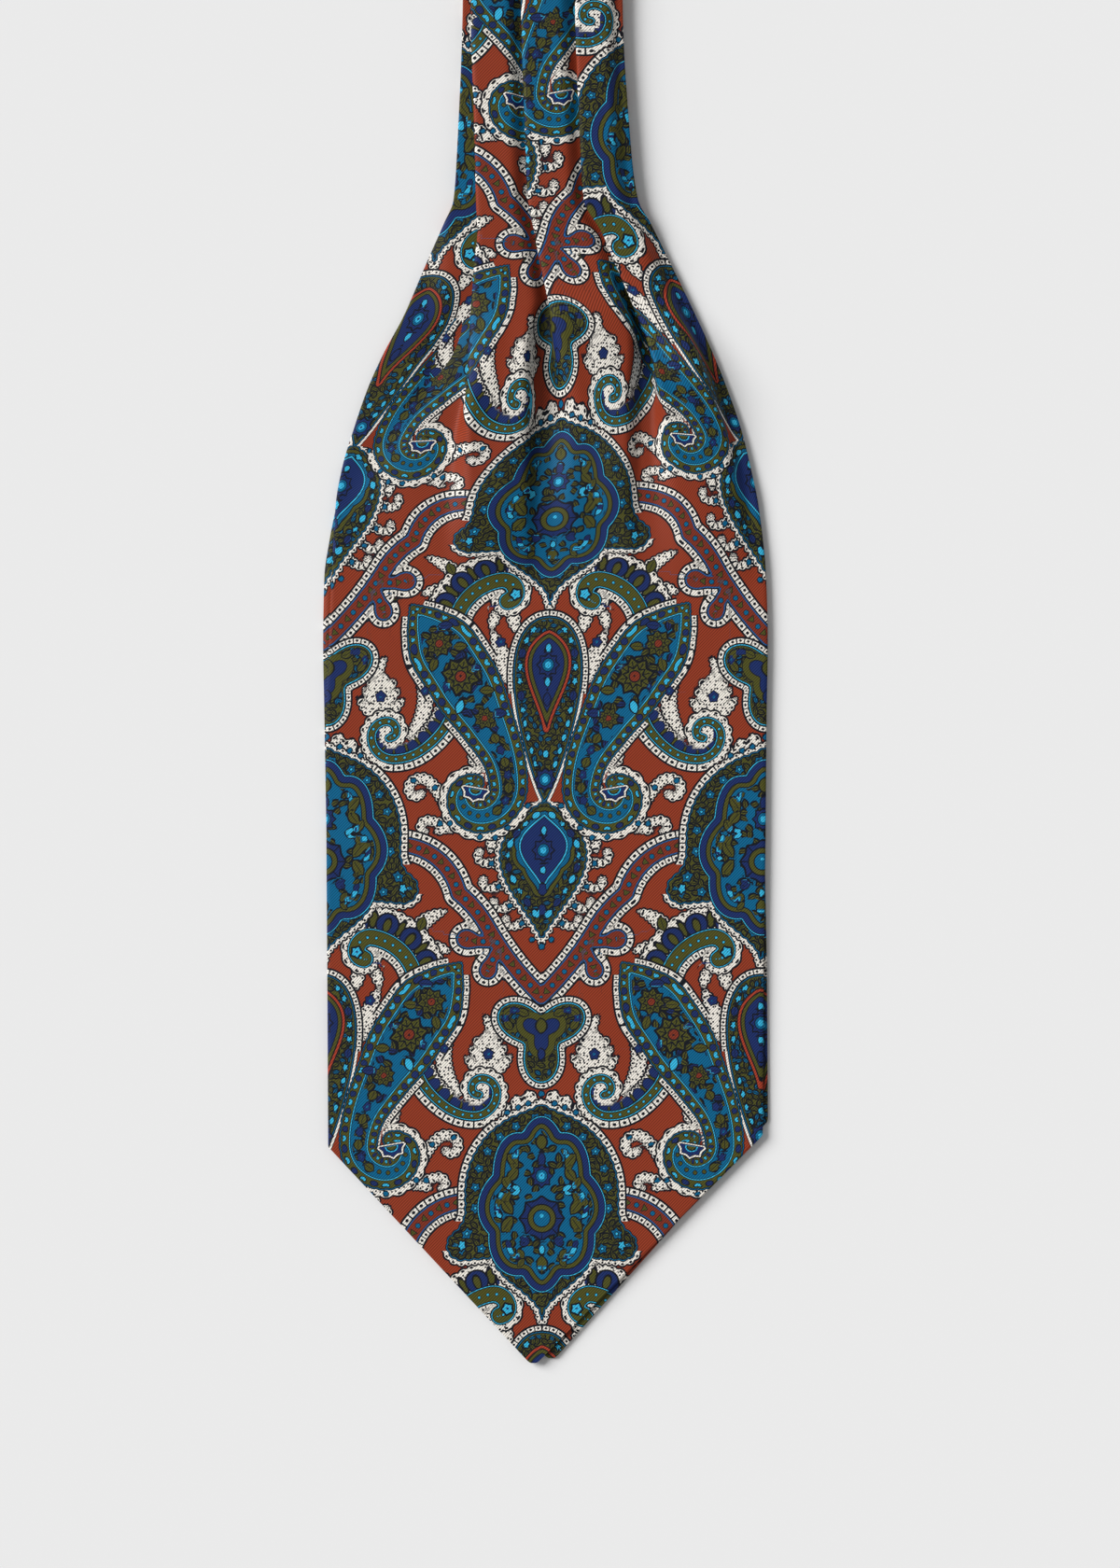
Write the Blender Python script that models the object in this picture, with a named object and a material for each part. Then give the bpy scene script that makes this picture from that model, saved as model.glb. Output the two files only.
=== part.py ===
"""A silk day cravat, laid flat and folded in half at the back of the neck.

The front length lies on the under length, point towards -Y.  Three knife pleats are pressed in its
neckband, each strip lapping over the one to its left, and a row of tacking stitches holds them.  Below
the stitches the pleats run out and let the cloth spread to the full width of the blade.

"Down" is the distance below the tacking stitches, measured along -Y.  It is negative in the neckband.
"""

import math

import bmesh
import bpy
import numpy as np

MM = 0.001

# Driving sizes, in millimetres.
TACK_Y = 110.5          # the tacking stitches, from the middle of the folded length
FOLDED_LENGTH = 600.0   # from the point to the fold at the back of the neck
FRONT_WALL = 1.0
UNDER_WALL = 1.5
GAP = 0.3               # between pieces that touch
LAYER_PITCH = 1.4       # from the middle of one pressed layer to the middle of the next
LAYERS = 3              # a knife pleat lies three deep
STACK = (LAYERS - 1) * LAYER_PITCH + FRONT_WALL
TIP_RADIUS = 3.0
ROUND_RIM = 0.35        # how far a turned edge rounds out, as a share of its thickness

# The front length: its two edges across the cravat at each distance down.
FRONT_EDGES = {
    "down": (-190, -71, -18, 0, 8, 22, 41, 54, 67, 81, 94, 107, 133, 156, 180, 226, 272, 330),
    "left": (-28.4, -29.2, -31.2, -32.5, -35.8, -42.1, -50.3, -57.3, -63.1, -67.9, -71.8, -74.1,
             -75.6, -76.5, -77.5, -77.4, -77.1, -76.8),
    "right": (26.8, 27.2, 30.2, 32.7, 37.1, 44.1, 53.3, 59.2, 64.4, 69.2, 72.4, 75.1,
              77.9, 78.5, 78.1, 77.7, 77.1, 76.7),
}
FRONT_CORNER = {"left": 334.0, "right": 330.0}
FRONT_TIP = {"down": 410.5, "across": -4.3}

# The under length shows by a few millimetres, because it lies a degree askew.
UNDER_EDGES = {
    "down": (0, 22, 41, 54, 67, 81, 94, 107, 120, 133, 156, 180, 226, 272, 325),
    "left": (-31.0, -41.0, -49.2, -56.3, -62.2, -67.0, -71.0, -73.8, -76.4, -78.2, -78.6, -78.2,
             -77.4, -76.6, -76.0),
    "right": (31.0, 43.0, 52.0, 58.0, 63.0, 67.5, 70.8, 73.5, 75.0, 76.0, 76.6, 76.9,
              77.4, 78.2, 78.6),
}
UNDER_CORNER = {"left": 330.0, "right": 325.0}
UNDER_TIP = {"down": 408.9, "across": 2.0}

# The line of each pleat's pressed edge, left to right across the cravat.
PLEAT_EDGES = {
    "down": (-190, -71, -18, 0, 11, 22, 39, 49, 61, 74, 135),
    "first": (-25.6, -26.1, -24.7, -24.3, -23.8, -24.9, -26.1, -26.7, -27.4, -28.2, -30.0),
    "middle": (-8.6, -8.4, -6.8, -6.1, -3.8, -1.8, 1.7, 2.9, 4.5, 5.8, 8.0),
    "last": (9.8, 10.6, 12.5, 13.7, 19.8, 24.6, 31.8, 35.8, 38.8, 41.0, 46.0),
}
# How each pleat opens: the angle its cloth doubles back by, in degrees (180 is pressed flat), the
# length that it doubles back, and the length of cloth that is bent in each of its two turns.
PLEAT_OPENING = {
    "down": (-190, 0, 11, 22, 33, 42, 52, 62, 72, 84, 98, 114, 135),
    "first turn": (180, 180, 180, 180, 176, 166, 146, 116, 84, 58, 36, 16, 0),
    "middle turn": (180, 180, 180, 172, 150, 112, 78, 58, 44, 30, 18, 8, 0),
    "last turn": (180, 180, 180, 180, 172, 156, 126, 92, 64, 42, 24, 10, 0),
    "first tuck": (8.0, 8.0, 7.8, 7.2, 6.4, 5.6, 4.8, 4.2, 3.8, 3.6, 3.4, 3.4, 3.4),
    "middle tuck": (8.0, 8.0, 7.4, 6.2, 4.6, 3.6, 3.2, 3.0, 3.0, 3.0, 3.0, 3.0, 3.0),
    "last tuck": (8.0, 8.0, 7.8, 7.0, 6.0, 5.0, 4.4, 4.0, 3.6, 3.4, 3.4, 3.4, 3.4),
    "bend": (2.2, 2.2, 2.2, 2.2, 2.3, 2.5, 2.6, 2.8, 3.0, 3.4, 3.8, 4.2, 4.5),
}
PLEATS = ("first", "middle", "last")
RELEASE_END = 135.0     # below this the front blade has no pleats left
# The soft swells of the blade below the pleats.
SWELLS = {
    "across": (-22.0, 26.0, -48.0, 56.0),
    "down": (112.0, 92.0, 96.0, 118.0),
    "wide": (17.0, 15.0, 13.0, 12.0),
    "long": (16.0, 20.0, 26.0, 26.0),
    "high": (1.5, 1.3, 1.0, 0.9),
}

ARC_STEPS = 4           # facets of each half turn of a pleat
LEAST_TURN = 0.001      # radians, of a pleat that has run out
STRIP_STEPS = 5         # facets of a strip between two pleats
LEVEL_SHARE = 0.12      # of a strip, level at each end before it slopes
NOSE_CLEARANCE = 1.2    # a strip stays high this far past the layer tucked under it
EDGE_CLEARANCE = 0.6    # and is low this far before the next pressed edge

# The under length is a stack under the neckband, and thins out below the tacking stitches.
CROWN_END = 62.0        # down where the stack has thinned to a single wall
CROWN_FLAT = 33.5       # across, from the middle, where the thinning stack is level
CROWN_WIDE = 43.0       # and where it has come down to the wall
BAND_INSET = (0.7, 1.3, 2.1)  # how far each hidden layer's edge lies inside the front's, bottom first
UNDER_STEPS = 14

SILK_RUST = (0.30, 0.045, 0.014, 1.0)
SILK_TEAL = (0.004, 0.16, 0.30, 1.0)
SILK_OLIVE = (0.09, 0.095, 0.012, 1.0)
SILK_ROUGHNESS = 0.45


def clear_scene():
    """Removes whatever the file holds."""
    for old in list(bpy.data.objects):
        bpy.data.objects.remove(old, do_unlink=True)


def smooth_column(table, name, down):
    """A table's column read at a distance down, along a smooth curve that never overshoots a row."""
    x = np.array(table["down"], float)
    y = np.array(table[name], float)
    step = np.diff(x)
    rise = np.diff(y) / step
    slope = np.zeros_like(y)
    same_way = rise[:-1] * rise[1:] > 0
    both = np.where(same_way, rise[:-1] + rise[1:], 1.0)
    slope[1:-1] = np.where(same_way, 2 * rise[:-1] * rise[1:] / both, 0.0)
    slope[0] = rise[0]
    slope[-1] = rise[-1]
    at = float(np.clip(down, x[0], x[-1]))
    i = int(np.clip(np.searchsorted(x, at) - 1, 0, len(step) - 1))
    t = (at - x[i]) / step[i]
    start = (1 + 2 * t) * (1 - t) ** 2 * y[i] + t * (1 - t) ** 2 * step[i] * slope[i]
    end = t * t * (3 - 2 * t) * y[i + 1] + t * t * (t - 1) * step[i] * slope[i + 1]
    return start + end


def ease(t):
    """A smooth step from 0 to 1."""
    t = np.clip(t, 0.0, 1.0)
    return t * t * (3 - 2 * t)


def blade_edge(edges, corners, tip, side, down):
    """One edge of a blade: its side down to the corner, then straight in to the rounded point."""
    corner = corners[side]
    if down <= corner:
        return smooth_column(edges, side, down)
    start = smooth_column(edges, side, corner)
    run = tip["across"] - start
    fall = tip["down"] - corner
    # The point's arc touches both straight edges, so they aim past it, at a sharp point.
    slant = math.atan2(abs(run), fall)
    sharp = fall + TIP_RADIUS * (1 / math.sin(slant) - 1)
    straight = abs(run) * (1 - (down - corner) / sharp)
    height = tip["down"] - down
    if height < TIP_RADIUS * (1 - math.sin(slant)):
        straight = math.sqrt(max(TIP_RADIUS**2 - (TIP_RADIUS - height) ** 2, 0.0))
    return tip["across"] - math.copysign(straight, run)


def under_height(across, down):
    """The top of the under length: a full stack beneath the neckband, one wall out in the blade."""
    along = 1 - ease(down / CROWN_END)
    spread = 1 - ease((np.abs(across) - CROWN_FLAT) / (CROWN_WIDE - CROWN_FLAT))
    spread = spread if down > 0 else np.ones_like(spread)
    return UNDER_WALL + (STACK - UNDER_WALL) * along * spread


def pleat_profile(turn, tuck, bend):
    """A doubled-back fold that starts at 0, 0: it turns back by the angle, runs on, turns again.

    Gives its points and where its pressed edge lies."""
    turn = max(turn, LEAST_TURN)
    radius = bend / turn
    a = np.linspace(0, turn, ARC_STEPS + 1)
    x_in = radius * np.sin(a)
    z_in = radius * (1 - np.cos(a))
    x_out = x_in[-1] + tuck * math.cos(turn)
    z_out = z_in[-1] + tuck * math.sin(turn)
    b = a[::-1]
    x_back = x_out + radius * (math.sin(turn) - np.sin(b))
    z_back = z_out + radius * (np.cos(b) - math.cos(turn))
    edge = x_out + radius * (math.sin(turn) - math.sin(min(turn, math.pi / 2)))
    return np.concatenate([x_in, x_back]), np.concatenate([z_in, z_back]), edge


def strip_points(start, end, level_to, level_from):
    """A strip between two pleats, which slopes down between two level ends."""
    span = end[0] - start[0]
    a = max(start[0] + LEVEL_SHARE * span, level_to)
    b = min(end[0] - LEVEL_SHARE * span, level_from)
    if b - a < LEVEL_SHARE * span:
        a, b = start[0] + LEVEL_SHARE * span, end[0] - LEVEL_SHARE * span
    x = np.linspace(a, b, STRIP_STEPS - 1)
    z = start[1] + (end[1] - start[1]) * ease((x - a) / (b - a))
    return x, z


def swell(across, down):
    """The soft rises of the blade below the pleats."""
    rise = np.zeros_like(across)
    for i in range(len(SWELLS["across"])):
        side = (across - SWELLS["across"][i]) / SWELLS["wide"][i]
        along = (down - SWELLS["down"][i]) / SWELLS["long"][i]
        rise += SWELLS["high"][i] * np.exp(-(side**2) - along**2)
    return rise


def pleated_line(down):
    """The middle line of the front length's wall across the cravat, above the under length."""
    left = smooth_column(FRONT_EDGES, "left", down)
    right = smooth_column(FRONT_EDGES, "right", down)
    bend = smooth_column(PLEAT_OPENING, "bend", down)
    xs = [np.array([left])]
    zs = [np.array([0.0])]
    nose = left
    for pleat in PLEATS:
        turn = math.radians(smooth_column(PLEAT_OPENING, pleat + " turn", down))
        tuck = smooth_column(PLEAT_OPENING, pleat + " tuck", down)
        x, z, edge = pleat_profile(turn, tuck, bend)
        edge_x = smooth_column(PLEAT_EDGES, pleat, down)
        x = x + edge_x - edge
        start = (xs[-1][-1], zs[-1][-1])
        strip = strip_points(start, (x[0], 0.0), nose + NOSE_CLEARANCE, edge_x - EDGE_CLEARANCE)
        xs += [strip[0], x]
        zs += [strip[1], z]
        nose = x.max()
    start = (xs[-1][-1], zs[-1][-1])
    strip = strip_points(start, (right, 0.0), nose + NOSE_CLEARANCE, right)
    x = np.concatenate(xs + [strip[0], np.array([right])])
    z = np.concatenate(zs + [strip[1], np.array([0.0])])
    return x, z + swell(x, down) * ease(down / RELEASE_END * 2)


def front_line(down):
    """The front length's middle line at a distance down, with its height above the table."""
    if down <= RELEASE_END:
        x, z = pleated_line(down)
    else:
        # Past the pleats the same points keep their shares of the width.
        x, z = pleated_line(RELEASE_END)
        share = (x - x[0]) / (x[-1] - x[0])
        left = blade_edge(FRONT_EDGES, FRONT_CORNER, FRONT_TIP, "left", down)
        right = blade_edge(FRONT_EDGES, FRONT_CORNER, FRONT_TIP, "right", down)
        x = left + share * (right - left)
        z = swell(x, down)
    lift = under_height(x, down) + GAP + FRONT_WALL / 2
    return x, z + lift


def wall_ring(x, z, wall):
    """A closed ring round a line: the line moved out to both sides, with a rounded rim at each end."""
    rim = ROUND_RIM * wall
    x = x.copy()
    x[0] += min(rim, 0.4 * (x[1] - x[0]))
    x[-1] -= min(rim, 0.4 * (x[-1] - x[-2]))
    run = np.stack([np.diff(x), np.diff(z)])
    run /= np.linalg.norm(run, axis=0)
    normal = np.stack([-run[1], run[0]])
    before = np.concatenate([normal[:, :1], normal], axis=1)
    after = np.concatenate([normal, normal[:, -1:]], axis=1)
    out = before + after
    out /= (out * before).sum(axis=0)
    top = np.stack([x, z]) + out * wall / 2
    bottom = np.stack([x, z]) - out * wall / 2
    right_rim = np.array([[x[-1] + rim], [z[-1]]])
    left_rim = np.array([[x[0] - rim], [z[0]]])
    return np.concatenate([bottom, right_rim, top[:, ::-1], left_rim], axis=1)


def front_rings():
    """Every ring of the front length, from the point up to the back of the neck and round its fold."""
    point = FRONT_TIP["down"] - np.array([0.12, 0.45, 1.2, 3.0, 7.0, 14.0, 27.0, 45.0, 62.0])
    straight = np.array([FRONT_CORNER["left"], FRONT_CORNER["right"], 290.0, 240.0, 200.0, 168.0])
    release = np.concatenate([np.arange(148.0, 78.0, -7.5), np.arange(74.0, -3.0, -4.5)])
    fold_radius = STACK + GAP / 2
    fold_down = -(FOLDED_LENGTH / 2 - TACK_Y - fold_radius)
    band = np.linspace(-8.0, fold_down, 6)
    rings = []
    for down in np.concatenate([point, straight, release, band]):
        x, z = front_line(down)
        wall = FRONT_WALL
        height = FRONT_TIP["down"] - down
        if height < FRONT_WALL / 2:
            wall *= math.sqrt(height / (FRONT_WALL / 2))
        ring = wall_ring(x, z, wall)
        rings.append(np.stack([ring[0], np.full(ring.shape[1], TACK_Y - down), ring[1]]))
    # The neckband turns over on itself: its last ring swings half a turn about the line below it.
    x, _, z = rings[-1]
    axis_z = STACK + GAP / 2
    axis_y = TACK_Y - fold_down
    for swing in np.linspace(0, math.pi, 9)[1:]:
        reach = z - axis_z
        rings.append(np.stack([x, axis_y + reach * math.sin(swing), axis_z + reach * math.cos(swing)]))
    return rings


def under_blade_rings():
    """Rings of the under blade, from its point up to the tacking stitches, flat underneath."""
    point = UNDER_TIP["down"] - np.array([0.12, 0.45, 1.2, 3.0, 10.0, 30.0, 55.0])
    rest = np.array([UNDER_CORNER["left"], UNDER_CORNER["right"], 272.0, 226.0, 180.0, 156.0, 133.0,
                     120.0, 107.0, 94.0, 81.0, 67.0, 57.0, 47.0, 38.0, 29.0, 20.0, 12.0, 5.0, GAP])
    rings = []
    for down in np.concatenate([point, rest]):
        left = blade_edge(UNDER_EDGES, UNDER_CORNER, UNDER_TIP, "left", down)
        right = blade_edge(UNDER_EDGES, UNDER_CORNER, UNDER_TIP, "right", down)
        height = UNDER_TIP["down"] - down
        rim = min(ROUND_RIM * UNDER_WALL, 0.25 * (right - left))
        x = np.linspace(left + rim, right - rim, UNDER_STEPS + 1)
        top = under_height(x, down)
        if height < UNDER_WALL / 2:
            top = top * math.sqrt(height / (UNDER_WALL / 2))
        ring_x = np.concatenate([x, [right], x[::-1], [left]])
        ring_z = np.concatenate([0 * x, [top[-1] / 2], top[::-1], [top[0] / 2]])
        rings.append(np.stack([ring_x, np.full(len(ring_x), TACK_Y - down), ring_z]))
    return rings


def under_band_rings():
    """Rings of the hidden half of the neckband: one solid whose sides show its three layers."""
    fold_down = -(FOLDED_LENGTH / 2 - TACK_Y - STACK - GAP / 2)
    rings = []
    for down in np.linspace(-GAP / 2, fold_down + GAP, 7):
        left = smooth_column(FRONT_EDGES, "left", down)
        right = smooth_column(FRONT_EDGES, "right", down)
        side_x = []
        side_z = []
        for layer in range(LAYERS):
            base = layer * LAYER_PITCH
            groove = BAND_INSET[layer] + LAYER_PITCH - FRONT_WALL / 2
            rim = ROUND_RIM * FRONT_WALL
            side_x += [BAND_INSET[layer] + rim, BAND_INSET[layer], BAND_INSET[layer] + rim]
            side_z += [base, base + FRONT_WALL / 2, base + FRONT_WALL]
            if layer < LAYERS - 1:
                side_x.append(groove)
                side_z.append(base + (FRONT_WALL + LAYER_PITCH) / 2)
        side_x = np.array(side_x)
        side_z = np.array(side_z)
        ring_x = np.concatenate([right - side_x, left + side_x[::-1]])
        ring_z = np.concatenate([side_z, side_z[::-1]])
        rings.append(np.stack([ring_x, np.full(len(ring_x), TACK_Y - down), ring_z]))
    return rings


def wall_caps(points):
    """The faces that close a wall's end ring, straight across from its bottom line to its top line."""
    last = points // 2 - 2
    pairs = [(i, points - 2 - i) for i in range(last + 1)]
    faces = [(a, c, d, b) for (a, b), (c, d) in zip(pairs[:-1], pairs[1:])]
    faces.append((last, last + 1, last + 2))
    faces.append((points - 1, 0, points - 2))
    return faces


def stack_caps(points):
    """The face that closes a stack's end ring."""
    return [tuple(range(points))]


def loft(name, rings, caps, colour, collection):
    """Joins rings of equal point counts into one closed solid, a named object of its own."""
    bm = bmesh.new()
    rows = [[bm.verts.new(p) for p in (ring.T * MM)] for ring in rings]
    count = len(rows[0])
    for low, high in zip(rows[:-1], rows[1:]):
        for i in range(count):
            j = (i + 1) % count
            bm.faces.new((low[i], low[j], high[j], high[i]))
    for row in (rows[0], rows[-1]):
        for face in caps(count):
            bm.faces.new([row[i] for i in face])
    bmesh.ops.recalc_face_normals(bm, faces=bm.faces)
    bmesh.ops.triangulate(bm, faces=bm.faces)
    mesh = bpy.data.meshes.new(name)
    bm.to_mesh(mesh)
    bm.free()
    mesh.shade_smooth()
    mesh.materials.append(silk(name + "_silk", colour))
    part = bpy.data.objects.new(name, mesh)
    collection.objects.link(part)
    return part


def silk(name, colour):
    """Printed silk twill in one of the print's main colours."""
    material = bpy.data.materials.new(name)
    material.use_nodes = True
    shader = material.node_tree.nodes["Principled BSDF"]
    shader.inputs["Base Color"].default_value = colour
    shader.inputs["Roughness"].default_value = SILK_ROUGHNESS
    shader.inputs["Metallic"].default_value = 0.0
    return material


def build_cravat():
    """Builds the three pieces in their own collection."""
    clear_scene()
    collection = bpy.data.collections.new("silk_cravat")
    bpy.context.scene.collection.children.link(collection)
    loft("front_length", front_rings(), wall_caps, SILK_RUST, collection)
    loft("under_blade", under_blade_rings(), wall_caps, SILK_TEAL, collection)
    loft("under_band", under_band_rings(), stack_caps, SILK_OLIVE, collection)


build_cravat()
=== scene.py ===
# %% [markdown]
# # A printed silk day cravat
#
# The cravat lies flat and folded in half at the back of the neck.  Three knife pleats are pressed in
# its neckband, and below a short row of tacking stitches they open into a broad pointed blade.  The
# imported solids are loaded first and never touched: every piece of silk below is worked out from the
# same sizes and stands for its solid.

# %% Load the frame
import math
from functools import partialmethod

import bpy
import numpy as np
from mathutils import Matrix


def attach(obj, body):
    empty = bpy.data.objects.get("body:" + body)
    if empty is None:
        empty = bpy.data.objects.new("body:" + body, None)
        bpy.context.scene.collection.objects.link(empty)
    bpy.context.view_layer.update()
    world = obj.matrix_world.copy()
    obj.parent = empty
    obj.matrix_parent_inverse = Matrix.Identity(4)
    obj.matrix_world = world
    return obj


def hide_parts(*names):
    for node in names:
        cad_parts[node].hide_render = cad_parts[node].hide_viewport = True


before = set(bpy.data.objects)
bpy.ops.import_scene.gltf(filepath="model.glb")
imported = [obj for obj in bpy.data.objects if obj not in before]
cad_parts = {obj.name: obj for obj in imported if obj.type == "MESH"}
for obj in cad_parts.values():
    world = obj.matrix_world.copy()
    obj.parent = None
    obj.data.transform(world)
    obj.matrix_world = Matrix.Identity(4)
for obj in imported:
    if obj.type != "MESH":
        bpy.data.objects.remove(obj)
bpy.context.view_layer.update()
MM = 0.001

# %% [markdown]
# ## Camera, table and light
#
# The cravat is seen from straight above, so the camera hangs over it and looks down with a long lens,
# which keeps the blade's two sides parallel.  The table is a plain pale sheet.  A lamp low on the left
# gives a soft shadow on the right side and models the pleats, and a pale sky fills what it leaves dark.
# A sun lamp was chosen because its shadow is equally soft along the whole cravat.

# %% Camera
VIEW_LONG = 0.5544      # metres of table that the picture's long side takes in
VIEW_MIDDLE = (0.0051, -0.0954)
CAMERA_HEIGHT = 2.0
SENSOR = 36.0


def placed(name, data):
    """A new object in the scene, at the origin, that holds the data."""
    thing = bpy.data.objects.new(name, data)
    bpy.context.scene.collection.objects.link(thing)
    return thing


camera = placed("camera", bpy.data.cameras.new("camera"))
camera.location = (*VIEW_MIDDLE, CAMERA_HEIGHT)
camera.data.sensor_width = SENSOR
camera.data.lens = SENSOR * CAMERA_HEIGHT / VIEW_LONG
bpy.context.scene.camera = camera
bpy.context.scene.view_settings.view_transform = "Standard"
print("lens", round(camera.data.lens, 1), "mm")

# %% Table, lamp and sky
TABLE_WHITE = 0.825
TABLE_HALF = 3.0
LAMP_HEIGHT = math.radians(33)   # above the table
LAMP_SIDE = math.radians(28)     # turned from the left towards the neck
LAMP_SPREAD = math.radians(36)
LAMP_SHARE = 0.68                # of the light that reaches the table


def new_material(name, constants):
    """A new material and its shader, with the given constants on the shader's sockets."""
    material = bpy.data.materials.new(name)
    material.use_nodes = True
    shader = material.node_tree.nodes["Principled BSDF"]
    for socket, value in constants.items():
        shader.inputs[socket].default_value = value
    return material, shader


corners = np.array([(-1, -1), (1, -1), (1, 1), (-1, 1)]) * TABLE_HALF + VIEW_MIDDLE
table_mesh = bpy.data.meshes.new("table_top")
table_mesh.from_pydata([(x, y, 0.0) for x, y in corners], [], [(0, 1, 2, 3)])
table = placed("table_top", table_mesh)
table.data.materials.append(new_material("matt_white", {
    "Base Color": (*[TABLE_WHITE] * 3, 1), "Roughness": 1.0, "Specular IOR Level": 0.0})[0])

lamp = placed("lamp", bpy.data.lights.new("lamp", "SUN"))
lamp.data.energy = LAMP_SHARE * math.pi / math.sin(LAMP_HEIGHT)
lamp.data.angle = LAMP_SPREAD
lamp.rotation_euler = (0, LAMP_HEIGHT - math.pi / 2, -LAMP_SIDE)

sky = bpy.data.worlds.new("sky")
sky.use_nodes = True
sky.node_tree.nodes["Background"].inputs["Color"].default_value = (1, 1, 1, 1)
sky.node_tree.nodes["Background"].inputs["Strength"].default_value = 1 - LAMP_SHARE
bpy.context.scene.world = sky
print("lamp", round(lamp.data.energy, 2), "sky", round(1 - LAMP_SHARE, 2))

# %% [markdown]
# ## The cut and the pleats, as tables
#
# A maker knows a cravat by a few widths along its length and by where each pleat is pressed.  So the
# shape is kept as short tables: "down" is the distance below the tacking stitches in millimetres, and
# the other columns are read along a smooth curve.  The same tables give the solids their shape, which
# is why the silk fits them without any fitting.

# %% Sizes shared with the solids, in millimetres
TACK_Y = 110.5          # the tacking stitches, from the middle of the folded length
FOLDED_LENGTH = 600.0
FRONT_WALL = 1.0
UNDER_WALL = 1.5
GAP = 0.3
LAYER_PITCH = 1.4       # from one pressed layer to the next
LAYERS = 3
STACK = (LAYERS - 1) * LAYER_PITCH + FRONT_WALL
TIP_RADIUS = 3.0
FRONT_EDGES = {
    "down": (-190, -71, -18, 0, 8, 22, 41, 54, 67, 81, 94, 107, 133, 156, 180, 226, 272, 330),
    "left": (-28.4, -29.2, -31.2, -32.5, -35.8, -42.1, -50.3, -57.3, -63.1, -67.9, -71.8, -74.1,
             -75.6, -76.5, -77.5, -77.4, -77.1, -76.8),
    "right": (26.8, 27.2, 30.2, 32.7, 37.1, 44.1, 53.3, 59.2, 64.4, 69.2, 72.4, 75.1,
              77.9, 78.5, 78.1, 77.7, 77.1, 76.7),
}
FRONT_CORNER = {"left": 334.0, "right": 330.0}
FRONT_TIP = {"down": 410.5, "across": -4.3}
UNDER_EDGES = {
    "down": (0, 22, 41, 54, 67, 81, 94, 107, 120, 133, 156, 180, 226, 272, 325),
    "left": (-31.0, -41.0, -49.2, -56.3, -62.2, -67.0, -71.0, -73.8, -76.4, -78.2, -78.6, -78.2,
             -77.4, -76.6, -76.0),
    "right": (31.0, 43.0, 52.0, 58.0, 63.0, 67.5, 70.8, 73.5, 75.0, 76.0, 76.6, 76.9,
              77.4, 78.2, 78.6),
}
UNDER_CORNER = {"left": 330.0, "right": 325.0}
UNDER_TIP = {"down": 408.9, "across": 2.0}
PLEAT_EDGES = {
    "down": (-190, -71, -18, 0, 11, 22, 39, 49, 61, 74, 135),
    "first": (-25.6, -26.1, -24.7, -24.3, -23.8, -24.9, -26.1, -26.7, -27.4, -28.2, -30.0),
    "middle": (-8.6, -8.4, -6.8, -6.1, -3.8, -1.8, 1.7, 2.9, 4.5, 5.8, 8.0),
    "last": (9.8, 10.6, 12.5, 13.7, 19.8, 24.6, 31.8, 35.8, 38.8, 41.0, 46.0),
}
PLEAT_OPENING = {
    "down": (-190, 0, 11, 22, 33, 42, 52, 62, 72, 84, 98, 114, 135),
    "first turn": (180, 180, 180, 180, 176, 166, 146, 116, 84, 58, 36, 16, 0),
    "middle turn": (180, 180, 180, 172, 150, 112, 78, 58, 44, 30, 18, 8, 0),
    "last turn": (180, 180, 180, 180, 172, 156, 126, 92, 64, 42, 24, 10, 0),
    "first tuck": (8.0, 8.0, 7.8, 7.2, 6.4, 5.6, 4.8, 4.2, 3.8, 3.6, 3.4, 3.4, 3.4),
    "middle tuck": (8.0, 8.0, 7.4, 6.2, 4.6, 3.6, 3.2, 3.0, 3.0, 3.0, 3.0, 3.0, 3.0),
    "last tuck": (8.0, 8.0, 7.8, 7.0, 6.0, 5.0, 4.4, 4.0, 3.6, 3.4, 3.4, 3.4, 3.4),
    "bend": (2.2, 2.2, 2.2, 2.2, 2.3, 2.5, 2.6, 2.8, 3.0, 3.4, 3.8, 4.2, 4.5),
}
PLEATS = ("first", "middle", "last")
RELEASE_END = 135.0
CROWN_END = 62.0
CROWN_FLAT = 33.5
CROWN_WIDE = 43.0
BAND_INSET = (0.7, 1.3, 2.1)
print("folded", FOLDED_LENGTH, "mm, layers in the neckband", 2 * LAYERS)

# %% [markdown]
# ## Reading a table smoothly
#
# Straight lines between the rows would put a corner at each row.  A cubic curve through the rows is
# smooth, and where its slope is kept to the harmonic mean of its neighbours' slopes it never swings
# past a row, so a fold line stays where it was pressed.


# %% Smooth tables, and the blade's outline
def smooth_column(table, name, down):
    """A column at each distance down: a cubic through the rows whose slopes are harmonic means."""
    x = np.array(table["down"], float)
    y = np.array(table[name], float)
    step = np.diff(x)
    rise = np.diff(y) / step
    same_way = rise[:-1] * rise[1:] > 0
    both = np.where(same_way, rise[:-1] + rise[1:], 1.0)
    slope = np.zeros_like(y)
    slope[1:-1] = np.where(same_way, 2 * rise[:-1] * rise[1:] / both, 0.0)
    slope[0], slope[-1] = rise[0], rise[-1]
    at = np.clip(down, x[0], x[-1])
    i = np.clip(np.searchsorted(x, at) - 1, 0, len(step) - 1)
    t = (at - x[i]) / step[i]
    start = (1 + 2 * t) * (1 - t) ** 2 * y[i] + t * (1 - t) ** 2 * step[i] * slope[i]
    end = t * t * (3 - 2 * t) * y[i + 1] + t * t * (t - 1) * step[i] * slope[i + 1]
    return start + end


def ease(t):
    """A smooth step: 3 t squared less 2 t cubed, held at 0 and 1 outside."""
    t = np.clip(t, 0.0, 1.0)
    return t * t * (3 - 2 * t)


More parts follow.
